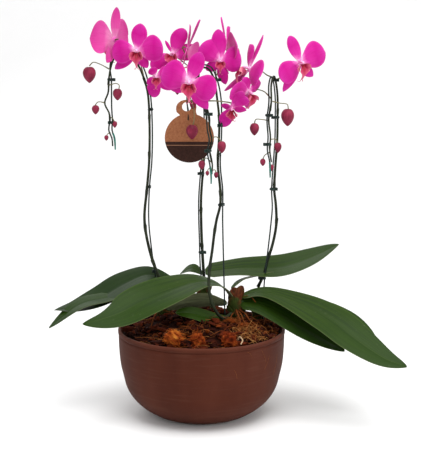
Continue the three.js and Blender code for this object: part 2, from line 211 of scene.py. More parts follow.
def leafFinish(name, stops, vein, margin, deep, gloss, coat):
    # dark bands near the foot, fine veins, a paler midrib and margin
    shader = Shader(name, Specular_IOR_Level=gloss, Coat_Roughness=0.3, Coat_IOR=1.4)
    along, across, side = shader.blade()
    place = shader.place()
    mottle = shader.noise(place, 26.0, 5.0)
    lines = shader.lines(along * 1.5, across * 34.0, 3.0, 0.6, 1.6)
    fine = shader.lines(along * 5.0, across * 150.0, 2.0)
    bands = shader.lines(along * 1.2, across * 12.0, 3.0)
    base = shader.ramp(along * 0.7 + mottle * 0.3, *stops)
    banded = shader.blend(bands.step(0.46, 0.62) * (1.0 - along) * 0.75, base, deep)
    veined = shader.blend(lines.step(0.44, 0.64) * 0.45, banded, vein)
    centre = shader.blend((1.0 - side.step(0.0, 0.05)) * along.step(0.25, 0.9) * 0.5, veined, margin)
    edged = shader.blend(side.step(0.955, 0.995) * 0.7, centre, margin)
    dusty = shader.blend(shader.noise(place, 160.0, 3.0).step(0.62, 0.8) * 0.12, edged, "8c8f78")
    leafShadePainted = shader.blend(shader.tone(), dusty, deep)   # painted shade: leaves that lie in the shade of others are deepened towards the deep green
    return shader.set(Base_Color=leafShadePainted, Roughness=0.36 + mottle * 0.16,
                      Coat_Weight=coat * (0.6 + mottle * 0.8),
                      Normal=shader.bump(lines * 0.7 + fine * 0.3, 0.3, 0.0009))


def stemFinish(name, dark, light, scar, roughness):
    shader = Shader(name, Specular_IOR_Level=0.18)
    place = shader.place()
    patches = shader.noise(place, 34.0)
    streak = shader.streaks(place, (420.0, 420.0, 40.0), 3.0)
    base = shader.blend(patches.step(0.38, 0.66), dark, light)
    scarred = shader.blend(streak.step(0.6, 0.8) * 0.5, base, scar)
    return shader.set(Base_Color=scarred, Roughness=roughness + patches * 0.15,
                      Normal=shader.bump(streak * 0.6 + patches * 0.4, 0.3, 0.0006))


def crownFinish():
    # green sheaths that dry to red-brown in patches
    shader = Shader("crownSheath", Specular_IOR_Level=0.15)
    place = shader.place()
    z = shader.axes(place)[2]
    patches = shader.noise(place, 42.0)
    ribs = shader.streaks(place, (520.0, 520.0, 45.0), 3.0)
    dry = (patches + z.step(0.17, 0.21) * 0.1).step(0.5, 0.66)
    base = shader.blend(dry, shader.ramp(ribs, (0.3, "232e0d"), (0.7, "3c4a1a")),
                        shader.ramp(ribs, (0.3, "33140a"), (0.7, "6b361a")))
    return shader.set(Base_Color=base, Roughness=0.55 + patches * 0.2, Normal=shader.bump(ribs, 0.5, 0.0008))


def budFinish():
    shader = Shader("budSkin", Specular_IOR_Level=0.15)
    along, across, _ = shader.blade()
    patches = shader.noise(shader.place(), 70.0)
    ribs = shader.lines(along * 60.0, across * 3.0, 3.0)
    base = shader.ramp(patches * 0.6 + ribs * 0.4, (0.3, "551028"), (0.5, "782038"), (0.7, "96304a"))
    return shader.set(Base_Color=base, Roughness=0.42 + patches * 0.2, Normal=shader.bump(ribs, 0.35, 0.0008))


def petalFinish(name, stops, vein, rim):
    # a pale heart, veins that fan out and a lighter rim
    shader = Shader(name, Specular_IOR_Level=0.1, Sheen_Weight=0.05, Sheen_Roughness=0.5,
                    Subsurface_Weight=0.08, Subsurface_Radius=(0.004, 0.0012, 0.003), Subsurface_Scale=1.0)
    along, across, side = shader.blade()
    veins = shader.lines(along * 2.2, (across - 0.5) * (1.6 - along * 0.5) * 26.0, 4.0, 0.6)
    cloud = shader.noise(shader.place(), 42.0, 3.0)
    base = shader.ramp(along + (cloud - 0.5) * 0.3 - side * 0.03, *stops)
    veined = shader.blend(veins.step(0.46, 0.7) * 0.38, base, vein)
    edge = side.step(0.82, 1.0) * 0.4 + along.step(0.93, 1.0) * 0.3
    return shader.set(Base_Color=shader.blend(edge * 0.8, veined, rim), Roughness=0.46 + cloud * 0.16,
                      Normal=shader.bump(veins * 0.8 + cloud * 0.2, 0.35, 0.0007))


def lipFinish(name, stops, spot):
    shader = Shader(name, Specular_IOR_Level=0.2)
    along, across, side = shader.blade()
    cloud = shader.noise(shader.place(), 160.0, 3.0)
    stripes = shader.lines(along * 2.0, across * 22.0, 2.0)
    base = shader.ramp(along * 0.75 + side * 0.2 + (cloud - 0.5) * 0.3, *stops)
    marked = shader.blend(stripes.step(0.5, 0.66) * 0.5, base, spot)
    return shader.set(Base_Color=marked, Roughness=0.4 + cloud * 0.15,
                      Normal=shader.bump(stripes, 0.3, 0.0004))


def columnFinish():
    shader = Shader("columnWax", Specular_IOR_Level=0.4, Subsurface_Weight=0.1,
                    Subsurface_Radius=(0.003, 0.001, 0.002), Subsurface_Scale=1.0)
    cloud = shader.noise(shader.place(), 190.0, 3.0)
    base = shader.ramp(cloud, (0.3, "e27fbd"), (0.7, "f3c3dd"))
    return shader.set(Base_Color=base, Roughness=0.4 + cloud * 0.1, Normal=shader.bump(cloud, 0.2, 0.0003))


def wireFinish(name, dark, light):
    shader = Shader(name, Specular_IOR_Level=0.22)
    place = shader.place()
    cloud = shader.noise(place, 120.0, 3.0)
    ridges = shader.streaks(place, (500.0, 500.0, 900.0), 2.0)
    base = shader.blend(cloud.step(0.35, 0.7), dark, light)
    return shader.set(Base_Color=base, Roughness=0.34 + cloud * 0.16, Normal=shader.bump(ridges, 0.2, 0.0003))


def cardFinish(bandTop):
    # kraft card with a dark band below bandTop and one thin pale line in it
    shader = Shader("kraftCard", Specular_IOR_Level=0.2)
    place = shader.place()
    z = shader.axes(place)[2]
    pulp = shader.noise(place, 260.0, 5.0, 0.7)
    flecks = shader.streaks(place, (900.0, 900.0, 300.0), 2.0)
    card = shader.ramp(pulp, (0.3, "7f4a30"), (0.7, "9f6a48"))
    flecked = shader.blend(flecks.step(0.62, 0.75) * 0.5, card, "6d432e")
    band = 1.0 - z.step(bandTop - 0.0003, bandTop + 0.0003)
    printed = shader.blend(band, flecked, shader.ramp(pulp, (0.3, "24110b"), (0.7, "38211a")))
    rule = (z - (bandTop - 0.006)).size().step(0.0004, 0.0007)
    ruled = shader.blend((1.0 - rule) * 0.6, printed, "a97b5e")
    return shader.set(Base_Color=ruled, Roughness=0.8 + pulp * 0.15,
                      Normal=shader.bump(pulp + flecks, 0.3, 0.0004))


finishes = {
    "bowl": bowlFinish(),
    # the mound shows between the scraps: its own dark brown, darkened further as painted shade in those gaps
    "mound": mixFinish("darkMix", (0.0, "120503"), (0.5, "200a05"), (1.0, "30120a")),
    "husk": mixFinish("huskScraps", (0.0, "1c0804"), (0.35, "34120a"), (0.7, "61260e"), (1.0, "a4501c")),
    "chip": mixFinish("huskChip", (0.0, "350f06"), (0.35, "6e260c"), (0.7, "974817"), (1.0, "b5752c")),
    "fibre": mixFinish("coirFibre", (0.0, "4c1e0e"), (0.5, "87491f"), (1.0, "c79458")),
    "root": mixFinish("airRoot", (0.0, "4f240e"), (0.5, "8a4c22"), (1.0, "e0cba6")),
    "crown": crownFinish(),
    "leafTop": leafFinish("leafTop", ((0.0, "35490a"), (0.5, "284004"), (1.0, "243f03")),
                          "162a01", "485f22", "0b2403", 0.13, 0.02),
    "leafUnder": leafFinish("leafUnder", ((0.0, "6a6e52"), (0.5, "656a4e"), (1.0, "5b6443")),
                            "52573e", "737a56", "2c3420", 0.1, 0.0),
    "spike": stemFinish("spikeSkin", "151b10", "262d1a", "35231b", 0.5),
    "stalk": stemFinish("flowerStalk", "5c5a3c", "7d7250", "6e3c44", 0.45),
    "bud": budFinish(),
    "wire": wireFinish("wireCoat", "0c1613", "152723"),
    "wireTip": wireFinish("wireTip", "175448", "267466"),
    "clip": wireFinish("clipPlastic", "101a16", "1c302a"),
    "petalFront": petalFinish("petalFront", ((0.0, "f0bcdc"), (0.05, "e074b9"), (0.13, "c82a94"),
                                             (0.4, "b90b82"), (0.75, "bf2690"), (1.0, "cb45a0")),
                              "980665", "ce52a4"),
    "petalBack": petalFinish("petalBack",
                             ((0.0, "dd8fb8"), (0.2, "cb4a96"), (0.6, "c2348a"), (1.0, "c23a8c")),
                             "a6286f", "cd5a9f"),
    "lipInner": lipFinish("lipInner", ((0.0, "6f0a1a"), (0.22, "8c0d28"), (0.42, "b42e58"),
                                       (0.7, "d7607f"), (1.0, "e594ae")), "8c1530"),
    "lipOuter": lipFinish("lipOuter", ((0.0, "b93f66"), (0.5, "d05a80"), (1.0, "ea94a2")), "b03354"),
    "column": columnFinish(),
}


# Shapes

def curvePoint(points, index, share):
    # a point on the centripetal Catmull-Rom curve between points[index] and the next one
    before = points[index - 1] if index else 2 * points[0] - points[1]
    after = points[index + 2] if index + 2 < len(points) else 2 * points[-1] - points[-2]
    knots = [before, points[index], points[index + 1], after]
    times = [0.0]
    for first, second in zip(knots, knots[1:]):
        times.append(times[-1] + max((second - first).length ** 0.5, 1e-6))
    now = mix(times[1], times[2], share)
    level = knots
    for span in (1, 2):
        level = [a.lerp(b, (now - times[i]) / (times[i + span] - times[i]))
                 for i, (a, b) in enumerate(zip(level, level[1:]))]
    return level[0].lerp(level[1], (now - times[1]) / (times[2] - times[1]))


def pathThrough(route, count):
    # count points at equal distances along a smooth curve through the route, in metres
    points = [Vector(each) * mm for each in route]
    fine = [curvePoint(points, index, step / 10) for index in range(len(points) - 1) for step in range(10)]
    fine.append(points[-1])
    lengths = [0.0]
    for first, second in zip(fine, fine[1:]):
        lengths.append(lengths[-1] + (second - first).length)
    path = []
    index = 0
    for step in range(count):
        target = lengths[-1] * step / (count - 1)
        while index < len(fine) - 2 and lengths[index + 1] < target:
            index += 1
        span = max(lengths[index + 1] - lengths[index], 1e-9)
        path.append(fine[index].lerp(fine[index + 1], min((target - lengths[index]) / span, 1.0)))
    return path


def pathLength(path):
    return sum((second - first).length for first, second in zip(path, path[1:]))


def sample(path, along):
    # the place and direction at a share of the way along a path of equal steps
    spot = min(max(along, 0.0), 1.0) * (len(path) - 1)
    index = min(int(spot), len(path) - 2)
    place = path[index].lerp(path[index + 1], spot - index)
    early = path[max(index - 1, 0)]
    late = path[min(index + 2, len(path) - 1)]
    return place, (late - early).normalized()


def newShape():
    shape = bmesh.new()
    shape.loops.layers.uv.new("UVMap")
    shape.verts.layers.float.new("tone")
    return shape


def setTone(shape, tone):
    layer = shape.verts.layers.float["tone"]
    for vertex in shape.verts:
        vertex[layer] = tone


def setMaterial(shape, number):
    for face in shape.faces:
        face.material_index = number


def move(shape, matrix):
    bmesh.ops.transform(shape, matrix=matrix, verts=shape.verts)


def join(target, part):
    scrap = bpy.data.meshes.new("scrap")
    part.to_mesh(scrap)
    part.free()
    target.from_mesh(scrap)
    bpy.data.meshes.remove(scrap)


def joinStrand(target, line, sides, tone):
    strand = strands([line], sides)
    setTone(strand, tone)
    join(target, strand)


def turned(profile, steps):
    # a closed round body from radius and height pairs, in metres
    shape = newShape()
    chain = [shape.verts.new((r, 0, z)) for r, z in profile]
    edges = [shape.edges.new(pair) for pair in zip(chain, chain[1:])]
    bmesh.ops.spin(shape, geom=chain + edges, cent=(0, 0, 0), axis=(0, 0, 1), angle=2 * math.pi,
                   steps=steps, use_merge=True)
    bmesh.ops.remove_doubles(shape, verts=shape.verts, dist=0.00001)
    bmesh.ops.recalc_face_normals(shape, faces=shape.faces)
    return shape


def slab(stepsAlong, stepsAcross, place, top=0, under=1):
    # a thin closed sheet: place(along, across, height) says where each point goes,
    # with along from 0 to 1, across from -1 to 1 and height from -0.5 to 0.5
    sheet = newShape()
    bmesh.ops.create_grid(sheet, x_segments=stepsAlong, y_segments=stepsAcross, size=1, calc_uvs=True)
    bmesh.ops.solidify(sheet, geom=sheet.faces[:], thickness=1)
    sheet.normal_update()
    for face in sheet.faces:
        face.material_index = top if face.normal.z > 0.5 else under
    for vertex in sheet.verts:
        x, y, z = vertex.co
        vertex.co = place((x + 1) / 2, y, z + 0.5)
    bmesh.ops.remove_doubles(sheet, verts=sheet.verts, dist=0.00003)
    if sheet.calc_volume(signed=True) < 0:
        bmesh.ops.reverse_faces(sheet, faces=sheet.faces)
    return sheet


def strands(lines, sides=8, material=0):
    # round strands; each line is a list of (point, radius)
    curve = bpy.data.curves.new("strands", "CURVE")
    curve.dimensions = "3D"
    curve.bevel_depth = 1.0
    curve.bevel_resolution = (sides - 4) // 2
    curve.use_fill_caps = True
    for line in lines:
        spline = curve.splines.new("POLY")
        spline.points.add(len(line) - 1)
        for point, (place, radius) in zip(spline.points, line):
            point.co = (*place, 1)
            point.radius = radius
    holder = bpy.data.objects.new("strands", curve)
    mesh = bpy.data.meshes.new_from_object(holder)
    part = newShape()
    part.from_mesh(mesh)
    bmesh.ops.remove_doubles(part, verts=part.verts, dist=0.000002)
    setMaterial(part, material)
    bpy.data.objects.remove(holder)
    bpy.data.curves.remove(curve)
    bpy.data.meshes.remove(mesh)
    return part


def taper(path, radii):
    # pairs of point and radius, the radii spread evenly along the path
    pairs = []
    for index, point in enumerate(path):
        spot = index / (len(path) - 1) * (len(radii) - 1)
        low = min(int(spot), len(radii) - 2)
        pairs.append((point, mix(radii[low], radii[low + 1], spot - low) * mm))
    return pairs


def addPiece(name, shape, materials, nodes, sharpAngle=45):
    mesh = bpy.data.meshes.new(name)
    shape.to_mesh(mesh)
    shape.free()
    for material in materials:
        mesh.materials.append(finishes[material])
    mesh.shade_smooth()
    mesh.set_sharp_from_angle(angle=math.radians(sharpAngle))
    piece = bpy.data.objects.new(name, mesh)
    bpy.context.collection.objects.link(piece)
    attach(piece, "root")
    if nodes:
        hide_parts(*nodes)


def pieceName(kind, place):
    return kind + "".join(word.capitalize() for word in place.split("_"))


def wordSeed(word):
    return sum(ord(letter) for letter in word)


# Bowl

bowl = {
    "outer": [[0, 0], [52, 0], [66.9, 0.6], [79.5, 3.6], [91.5, 10.2], [106, 20.6], [118.3, 34], [127, 50],
              [132, 70], [135.4, 84], [137.3, 98], [138.6, 118], [139.0, 134]],
    "wall": 5.0,
    "floor": 8.0,
    "lip": [(-0.9, -9.9), (-1.8, -8.9), (-1.8, -8.2), (-0.35, -7.3), (0, -5.9), (0, -2), (-0.5, -0.7),
            (-1.5, -0.1), (-2.6, 0), (-4, -0.5), (-4.8, -1.6), (-5, -3.5)],
    "steps": 144,
    "wobble": [(0.0012, 2, 0.6), (0.0008, 5, 0)],
}


def bowlSide(count):
    # the curve of the outer wall above its flat foot, in metres
    return [(point.x, point.z) for point in pathThrough([[r, 0, z] for r, z in bowl["outer"][2:]], count)]


def buildBowl():
    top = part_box("bowl")[1]
    side = [(r / mm, z / mm) for r, z in bowlSide(34)]
    lip = [(top.x / mm + r, top.z / mm + z) for r, z in bowl["lip"]]
    inner = [(r - bowl["wall"], z + 0.6 * bowl["wall"]) for r, z in reversed(side[2:-3])]
    profile = [(0, 0.0), (30, 0.0), (58, 0.0), *side, *lip, *inner, (40, bowl["floor"]), (0, bowl["floor"])]
    shape = turned([(r * mm, z * mm) for r, z in profile], bowl["steps"])
    for vertex in shape.verts:
        angle = math.atan2(vertex.co.y, vertex.co.x)
        wobble = 1 + sum(size * math.sin(waves * angle + shift) for size, waves, shift in bowl["wobble"])
        vertex.co.x *= wobble
        vertex.co.y *= wobble
    addPiece("bowlShell", shape, ["bowl"], ["bowl"], 60)


buildBowl()
print("bowl done")


# Potting mix

mixture = {
    "drop": 7.0,
    "mound": 22.0,
    "side": [[60, 0, 10], [86, 0, 18], [104, 0, 29], [116, 0, 43], [125.5, 0, 64], [130, 0, 98]],
    "sideTop": 134,
    "clear": 1.2,
    "rings": 26,
    "steps": 96,
    "lumps": 4.0,
    "scraps": 420,
    "scrapLength": (8, 24),
    "fibres": 240,
    "seed": 11,
}
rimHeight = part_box("bowl")[1].z
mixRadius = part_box("potting_mix")[1].x


def mixTop(x, y):
    # height of the top of the mix, in metres
    rise = smooth(0, 0.8, 1 - math.hypot(x, y) / mixRadius)
    return rimHeight + (-mixture["drop"] + (mixture["drop"] + mixture["mound"]) * rise) * mm


def buildMound():
    radius = mixRadius - mixture["clear"] * mm
    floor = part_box("potting_mix")[0].z
    side = pathThrough(mixture["side"] + [[radius / mm, 0, mixture["sideTop"]]], 14)
    crest = [radius * (1 - step / mixture["rings"]) for step in range(mixture["rings"] + 1)]
    profile = [(0, floor), *((point.x, point.z) for point in side), *((r, mixTop(r, 0) - mm) for r in crest)]
    shape = turned(profile, mixture["steps"])
    layer = shape.verts.layers.float["tone"]
    for vertex in shape.verts:
        if vertex.co.z > (mixture["sideTop"] + 0.1) * mm:
            x, y, _ = vertex.co
            edge = smooth(0.0, 0.02, radius - math.hypot(x, y))
            lump = noise.fractal(Vector((x, y, 0)) * 70, 0.9, 2.1, 4)
            vertex.co.z += (lump * mixture["lumps"] - 1.0) * mm * mix(0.4, 1, edge)
            vertex[layer] = 0.5 + 0.5 * noise.noise(Vector((x, y, 3)) * 120)
    addPiece("pottingMixMound", shape, ["mound"], ["potting_mix"], 70)


def squared(number, power):
    # pushes a share away from zero, so a ball gets flatter sides
    return math.copysign(abs(number) ** power, number)


def randomSpot(dice, radius):
    reach = radius * math.sqrt(dice.random())
    return reach, dice.uniform(0, 2 * math.pi)


def scrapShape(dice, size):
    # one torn scrap of husk, a few dozen faces
    scrap = newShape()
    bmesh.ops.create_icosphere(scrap, subdivisions=2, radius=0.5)
    shift = Vector((dice.uniform(0, 99), dice.uniform(0, 99), dice.uniform(0, 99)))
    for vertex in scrap.verts:
        direction = vertex.co.normalized()
        swell = 0.55 * noise.noise(direction * 1.9 + shift)
        vertex.co *= 1 + swell + 0.25 * noise.noise(direction * 5 + shift)
        x, y, z = vertex.co
        vertex.co = (squared(x, 0.8) * size.x, y * size.y, squared(z, 0.85) * size.z)
    return scrap


def buildScraps():
    dice = random.Random(mixture["seed"])
    shape = newShape()
    for _ in range(mixture["scraps"]):
        reach, angle = randomSpot(dice, mixRadius)
        length = mix(*mixture["scrapLength"], dice.random() ** 2) * mm
        size = Vector((length, length * dice.uniform(0.35, 0.75), length * dice.uniform(0.18, 0.42)))
        reach = min(reach * 0.97, mixRadius - length * 0.5)
        x, y = reach * math.cos(angle), reach * math.sin(angle)
        turn = Matrix.Rotation(dice.uniform(0, 2 * math.pi), 4, "Z")
        turn = turn @ Matrix.Rotation(dice.gauss(0, 0.45), 4, "X")
        turn = turn @ Matrix.Rotation(dice.gauss(0, 0.4), 4, "Y")
        scrap = scrapShape(dice, size)
        move(scrap, Matrix.Translation((x, y, mixTop(x, y) + dice.uniform(-0.0005, 0.004))) @ turn)
        # painted shade: scraps towards the left, where the mix lies in shadow, are made darker
        paintedShadeLeft = 0.25 * smooth(0.02, -0.11, x)
        setTone(scrap, min(max(dice.gauss(0.42, 0.24) - paintedShadeLeft, 0.02), 1))
        join(shape, scrap)
    addPiece("huskScraps", shape, ["husk"], [], 35)


def fibreLine(dice, x, y, length, rise, steps=8):
    # one curling fibre that starts on the mix and stays above it and inside the bowl
    heading = dice.uniform(0, 2 * math.pi)
    place = Vector((x, y, mixTop(x, y) + 0.001))
    line = []
    bend = dice.gauss(0, 0.35)
    climb = dice.uniform(0.0, 0.9) * rise
    limit = mixRadius - 0.003
    for step in range(steps):
        share = step / (steps - 1)
        line.append((place.copy(), dice.uniform(0.2, 0.5) * mm * (1 - 0.5 * share)))
        heading += bend + dice.gauss(0, 0.12)
        lift = climb * math.cos(math.pi * share) * 0.8
        place += Vector((math.cos(heading), math.sin(heading), lift)) * length / steps
        place.z = max(place.z, mixTop(place.x, place.y) + 0.0008)
        out = math.hypot(place.x, place.y)
        if out > limit:
            place.x *= limit / out
            place.y *= limit / out
    return line


# the fibre stands up in tufts at the right of the front plant, round its foot and behind the chips
tufts = [
    {"x": 84, "y": -62, "spread": (13, 13), "count": 70, "rise": 1.6, "tones": (0.5, 1.0)},
    {"x": 62, "y": -34, "spread": (12, 14), "count": 70, "rise": 1.2, "tones": (0.15, 0.6)},
    {"x": -20, "y": -80, "spread": (22, 10), "count": 34, "rise": 1.4, "tones": (0.2, 0.7)},
    {"x": 98, "y": -20, "spread": (14, 14), "count": 30, "rise": 1.2, "tones": (0.2, 0.7)},
]


def buildFibres():
    dice = random.Random(mixture["seed"] + 1)
    shape = newShape()
    for _ in range(mixture["fibres"]):
        reach, angle = randomSpot(dice, mixRadius * 0.95)
        x, y = reach * math.cos(angle), reach * math.sin(angle)
        line = fibreLine(dice, x, y, dice.uniform(0.02, 0.055), 0.5)
        joinStrand(shape, line, 4, dice.uniform(0.1, 0.75))
    for tuft in tufts:
        for _ in range(tuft["count"]):
            x = dice.gauss(tuft["x"], tuft["spread"][0]) * mm
            y = dice.gauss(tuft["y"], tuft["spread"][1]) * mm
            line = fibreLine(dice, x, y, dice.uniform(0.018, 0.048), tuft["rise"])
            joinStrand(shape, line, 4, dice.uniform(*tuft["tones"]))
    addPiece("coirFibres", shape, ["fibre"], [], 60)


chips = {
    "left": {"tone": 0.62, "bundle": 110, "lean": 0.5, "fan": 0.5},
    "centre": {"tone": 0.36, "bundle": 100, "lean": -0.5, "fan": 0.9},
    "right": {"tone": 0.26, "bundle": 70, "lean": 0.15, "fan": 0.35},
}


def chipCore(tone, size, shift):
    core = newShape()
    bmesh.ops.create_icosphere(core, subdivisions=4, radius=0.5)
    layer = core.verts.layers.float["tone"]
    for vertex in core.verts:
        spot = vertex.co.copy()
        rough = noise.fractal(spot * 3.4 + shift, 0.8, 2.2, 5)
        fine = noise.noise(Vector((spot.x * 3, spot.y * 16, spot.z * 16)) + shift)
        spot = Vector([squared(c, 0.82) for c in spot]) * (0.78 + 0.34 * rough + 0.08 * fine)
        vertex[layer] = min(max(tone + 0.7 * noise.noise(spot * 3.1 + shift) + 0.25 * fine, 0), 1)
        vertex.co = (spot.x * size.x * 0.9, spot.y * size.y, spot.z * size.z * 0.9)
    return core


def buildChips():
    # each chip is a rough core in a bundle of torn fibres that fan out at its ends
    dice = random.Random(mixture["seed"] + 2)
    for place, torn in chips.items():
        node = "husk_chip_" + place
        low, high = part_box(node)
        middle = (low + high) / 2
        size = high - low
        turn = Matrix.Rotation(torn["lean"], 4, "Y")
        chip = newShape()
        core = chipCore(torn["tone"], size, Vector((dice.uniform(0, 50), 3, 7)))
        move(core, Matrix.Translation(middle) @ turn)
        join(chip, core)
        for _ in range(torn["bundle"]):
            angle = dice.uniform(0, 2 * math.pi)
            ring = Vector((0, math.cos(angle) * size.y, math.sin(angle) * size.z)) * dice.uniform(0.32, 0.43)
            reach = size.x * dice.uniform(0.25, 0.52)
            start = dice.uniform(-0.35, 0.1) * size.x
            flare = 1 + torn["fan"] * dice.uniform(0, 0.5)
            route = [Vector((start - reach * 0.3, ring.y * flare, ring.z * flare)),
                     Vector((start, ring.y, ring.z)),
                     Vector((start + reach * 0.6, ring.y, ring.z * 0.97)),
                     Vector((start + reach, ring.y * flare, ring.z * flare))]
            wander = Vector((0, dice.gauss(0, 1.2), dice.gauss(0, 1.2))) * mm
            thick = dice.uniform(0.3, 0.8) * mm
            line = [(middle + turn @ (each + wander * step), thick * (1 - 0.25 * step))
                    for step, each in enumerate(route)]
            joinStrand(chip, line, 4, min(max(torn["tone"] + dice.gauss(0.05, 0.22), 0), 1))
        addPiece(pieceName("huskChip", place), chip, ["chip"], [node], 40)


# fine fibres that cling to the bowl: angle round it, upper and lower height, swing in degrees
strayFibres = [[-58, 136, 127, 4], [-46, 134, 112, 5], [-38, 122, 100, -4], [-68, 110, 94, 3],
               [-27, 118, 84, -3]]
stray = {"radius": 0.14, "tone": 0.55, "stand": 0.4, "steps": 13}


def buildStrays():
    shape = newShape()
    wall = bowlSide(60)
    for angle, high, low, swing in strayFibres:
        line = []
        for step in range(stray["steps"] + 1):
            share = step / stray["steps"]
            height = mix(high, low, share) * mm
            reach = min(wall, key=lambda point: abs(point[1] - height))[0] + stray["stand"] * mm
            turn = math.radians(angle + swing * share + 0.5 * math.sin(4 * share))
            place = Vector((reach * math.cos(turn), reach * math.sin(turn), height))
            line.append((place, stray["radius"] * mm))
        joinStrand(shape, line, 4, stray["tone"])
    addPiece("strayFibres", shape, ["fibre"], [], 60)


# Air roots: route, radius and tone
roots = [
    ([[58, -8, 178], [60, -20, 174], [64, -36, 166], [60, -52, 160], [64, -72, 153]], 1.5, 0.1),
    ([[61, -6, 176], [66, -18, 173], [69, -34, 167], [75, -50, 160], [72, -66, 155]], 1.1, 0.22),
    ([[63, -4, 178], [73, -18, 174], [80, -30, 166], [94, -44, 159]], 1.3, 0.15),
    ([[54, -8, 174], [49, -22, 170], [50, -38, 165], [44, -54, 159]], 1.0, 0.12),
    ([[58, -98, 151], [62, -104, 157], [66, -110, 153], [63, -115, 148]], 1.4, 0.9),
    ([[66, 4, 196], [76, -2, 201], [84, -8, 199], [90, -14, 193]], 0.8, 0.1),
    ([[-60, 34, 170], [-72, 16, 172], [-80, -6, 164], [-84, -30, 152]], 1.5, 0.15),
    ([[96, 52, 170], [104, 34, 170], [108, 14, 162], [104, -8, 153]], 1.6, 0.15),
    ([[10, 74, 176], [22, 92, 172], [26, 108, 158]], 1.7, 0.2),
]


def buildRoots(steps=21):
    shape = newShape()
    for route, radius, tone in roots:
        line = []
        for index, point in enumerate(pathThrough(route, steps + 1)):
            thick = radius * (1 - 0.35 * index / steps) * (1 + 0.12 * math.sin(index * 1.9))
            line.append((point, thick * mm))
        joinStrand(shape, line, 10, tone)
    addPiece("airRoots", shape, ["root"], [], 60)


buildMound()
buildScraps()
buildFibres()
buildChips()
buildStrays()
buildRoots()
print("potting mix done")


# Crowns: a stump wrapped in the dry and green feet of its leaves

crown = {"core": 0.72, "coreHeight": 0.8, "rings": 0.06, "sheaths": 6, "spread": 100, "flare": 1.5,
         "thick": 1.1}


def buildCrown(place):
    node = "crown_" + place
    low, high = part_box(node)
    foot = Vector(((low.x + high.x) / 2, (low.y + high.y) / 2, low.z))
    tall = high.z - low.z
    radius = (high.x - low.x) / 2
    shape = newShape()
    core = newShape()
    bmesh.ops.create_uvsphere(core, u_segments=20, v_segments=14, radius=1)
    for vertex in core.verts:
        x, y, z = vertex.co
        share = (z + 1) / 2
        ring = 1 + crown["rings"] * math.sin(share * 40)
        vertex.co = foot + Vector((x * radius * crown["core"] * ring, y * radius * crown["core"] * ring,
                                   share * tall * crown["coreHeight"]))
    join(shape, core)
    for index in range(crown["sheaths"]):
        share = index / (crown["sheaths"] - 1)
        start = math.radians(180 * (index % 2) + 25 * index)
        bottom = mix(0.1, 0.42, share) * tall
        top = mix(0.55, 0.98, share) * tall
        bulge = radius * mix(1.0, 0.84, share)

        def wrap(along, across, height, start=start, bottom=bottom, top=top, bulge=bulge):
            angle = start + math.radians(crown["spread"]) * across * (1 - 0.45 * along ** 2)
            reach = bulge * mix(0.92, crown["flare"] if along > 0.6 else 1.0, smooth(0.4, 1, along))
            reach += height * crown["thick"] * mm
            level = mix(bottom, top, along) - 0.12 * tall * across ** 2 * along
            return foot + Vector((math.cos(angle) * reach, math.sin(angle) * reach, level))

        join(shape, slab(10, 14, wrap, 0, 0))
    addPiece(pieceName("crown", place), shape, ["crown"], [node], 50)


for place in ("left", "back", "front", "right"):
    buildCrown(place)
print("crowns done")


# Leaves: the midrib's route, the half width, and how far the blade is rolled round its midrib at
# the foot and at the tip, in degrees. Shade is painted shade: how far the green is deepened
# for leaves that lie in the shade of others.

leaves = {
    "front_left": {
        "rib": [[53, 6, 192], [34, -2, 217], [-2, -20, 229], [-43, -42, 222], [-91, -62, 207],
                [-137, -80, 188], [-190, -95, 176]],
        "halfWidth": 37, "roll": [0, -50], "fold": 0.12, "nip": 0.5},
    "front_right": {
        "rib": [[65, 8, 197], [101, 0, 207], [155, -25, 196], [213, -60, 172], [255, -90, 145],
                [294, -112, 123], [326, -125, 114]],
        "halfWidth": 35, "roll": [10, 33], "fold": 0.1},
    "back_right": {
        "rib": [[6, 62, 228], [66, 62, 235], [134, 60, 237], [185, 55, 253], [234, 50, 279]],
        "halfWidth": 35, "roll": [20, 22], "fold": 0.15, "foot": 0.66},
    "back_left": {
        "rib": [[-40, 42, 208], [-88, 42, 228], [-130, 35, 214], [-172, 22, 192], [-213, 8, 179],
                [-247, 0, 176]],
        "halfWidth": 32, "roll": [-28, -12], "fold": 0.15, "shade": 0.7},
    "low_left": {
        "rib": [[-71, 36, 204], [-122, 28, 200], [-163, 12, 193], [-203, -4, 186], [-254, -20, 150]],
        "halfWidth": 21, "roll": [-10, -10], "fold": 0.15, "shade": 0.35},
    "low_right": {
        "rib": [[66, 0, 190], [92, -6, 189], [130, -22, 176], [182, -50, 150], [232, -80, 127]],
        "halfWidth": 27, "roll": [30, 20], "fold": 0.12, "foot": 0.75, "shade": 0.45},
    "middle_right": {
        "rib": [[106, 50, 179], [168, 38, 178], [225, 15, 161], [265, -8, 143], [296, -25, 122]],
        "halfWidth": 30, "roll": [8, 24], "fold": 0.12},
    "small_front": {
        "rib": [[47, -18, 166], [9, -34, 172], [-17, -44, 181], [-42, -52, 184]],
        "halfWidth": 13, "roll": [-40, -45], "fold": 0.2, "tip": 0.5},
    "small_left": {
        "rib": [[42, -2, 187], [12, -12, 194], [-20, -22, 194], [-62, -30, 187]],
        "halfWidth": 20, "roll": [45, 60], "fold": 0.15},
    "small_back": {
        "rib": [[2, 76, 221], [-17, 82, 230], [-38, 86, 220]],
        "halfWidth": 12, "roll": [-20, -20], "fold": 0.2},
    "inner_right": {
        "rib": [[51, 20, 209], [69, 40, 219], [103, 52, 225], [152, 60, 231]],
        "halfWidth": 15, "roll": [-20, -10], "fold": 0.15},
}
leafBlade = {"stepsAlong": 44, "stepsAcross": 16, "thick": 1.9, "edge": 0.7, "groove": 0.9, "ripple": 0.8}


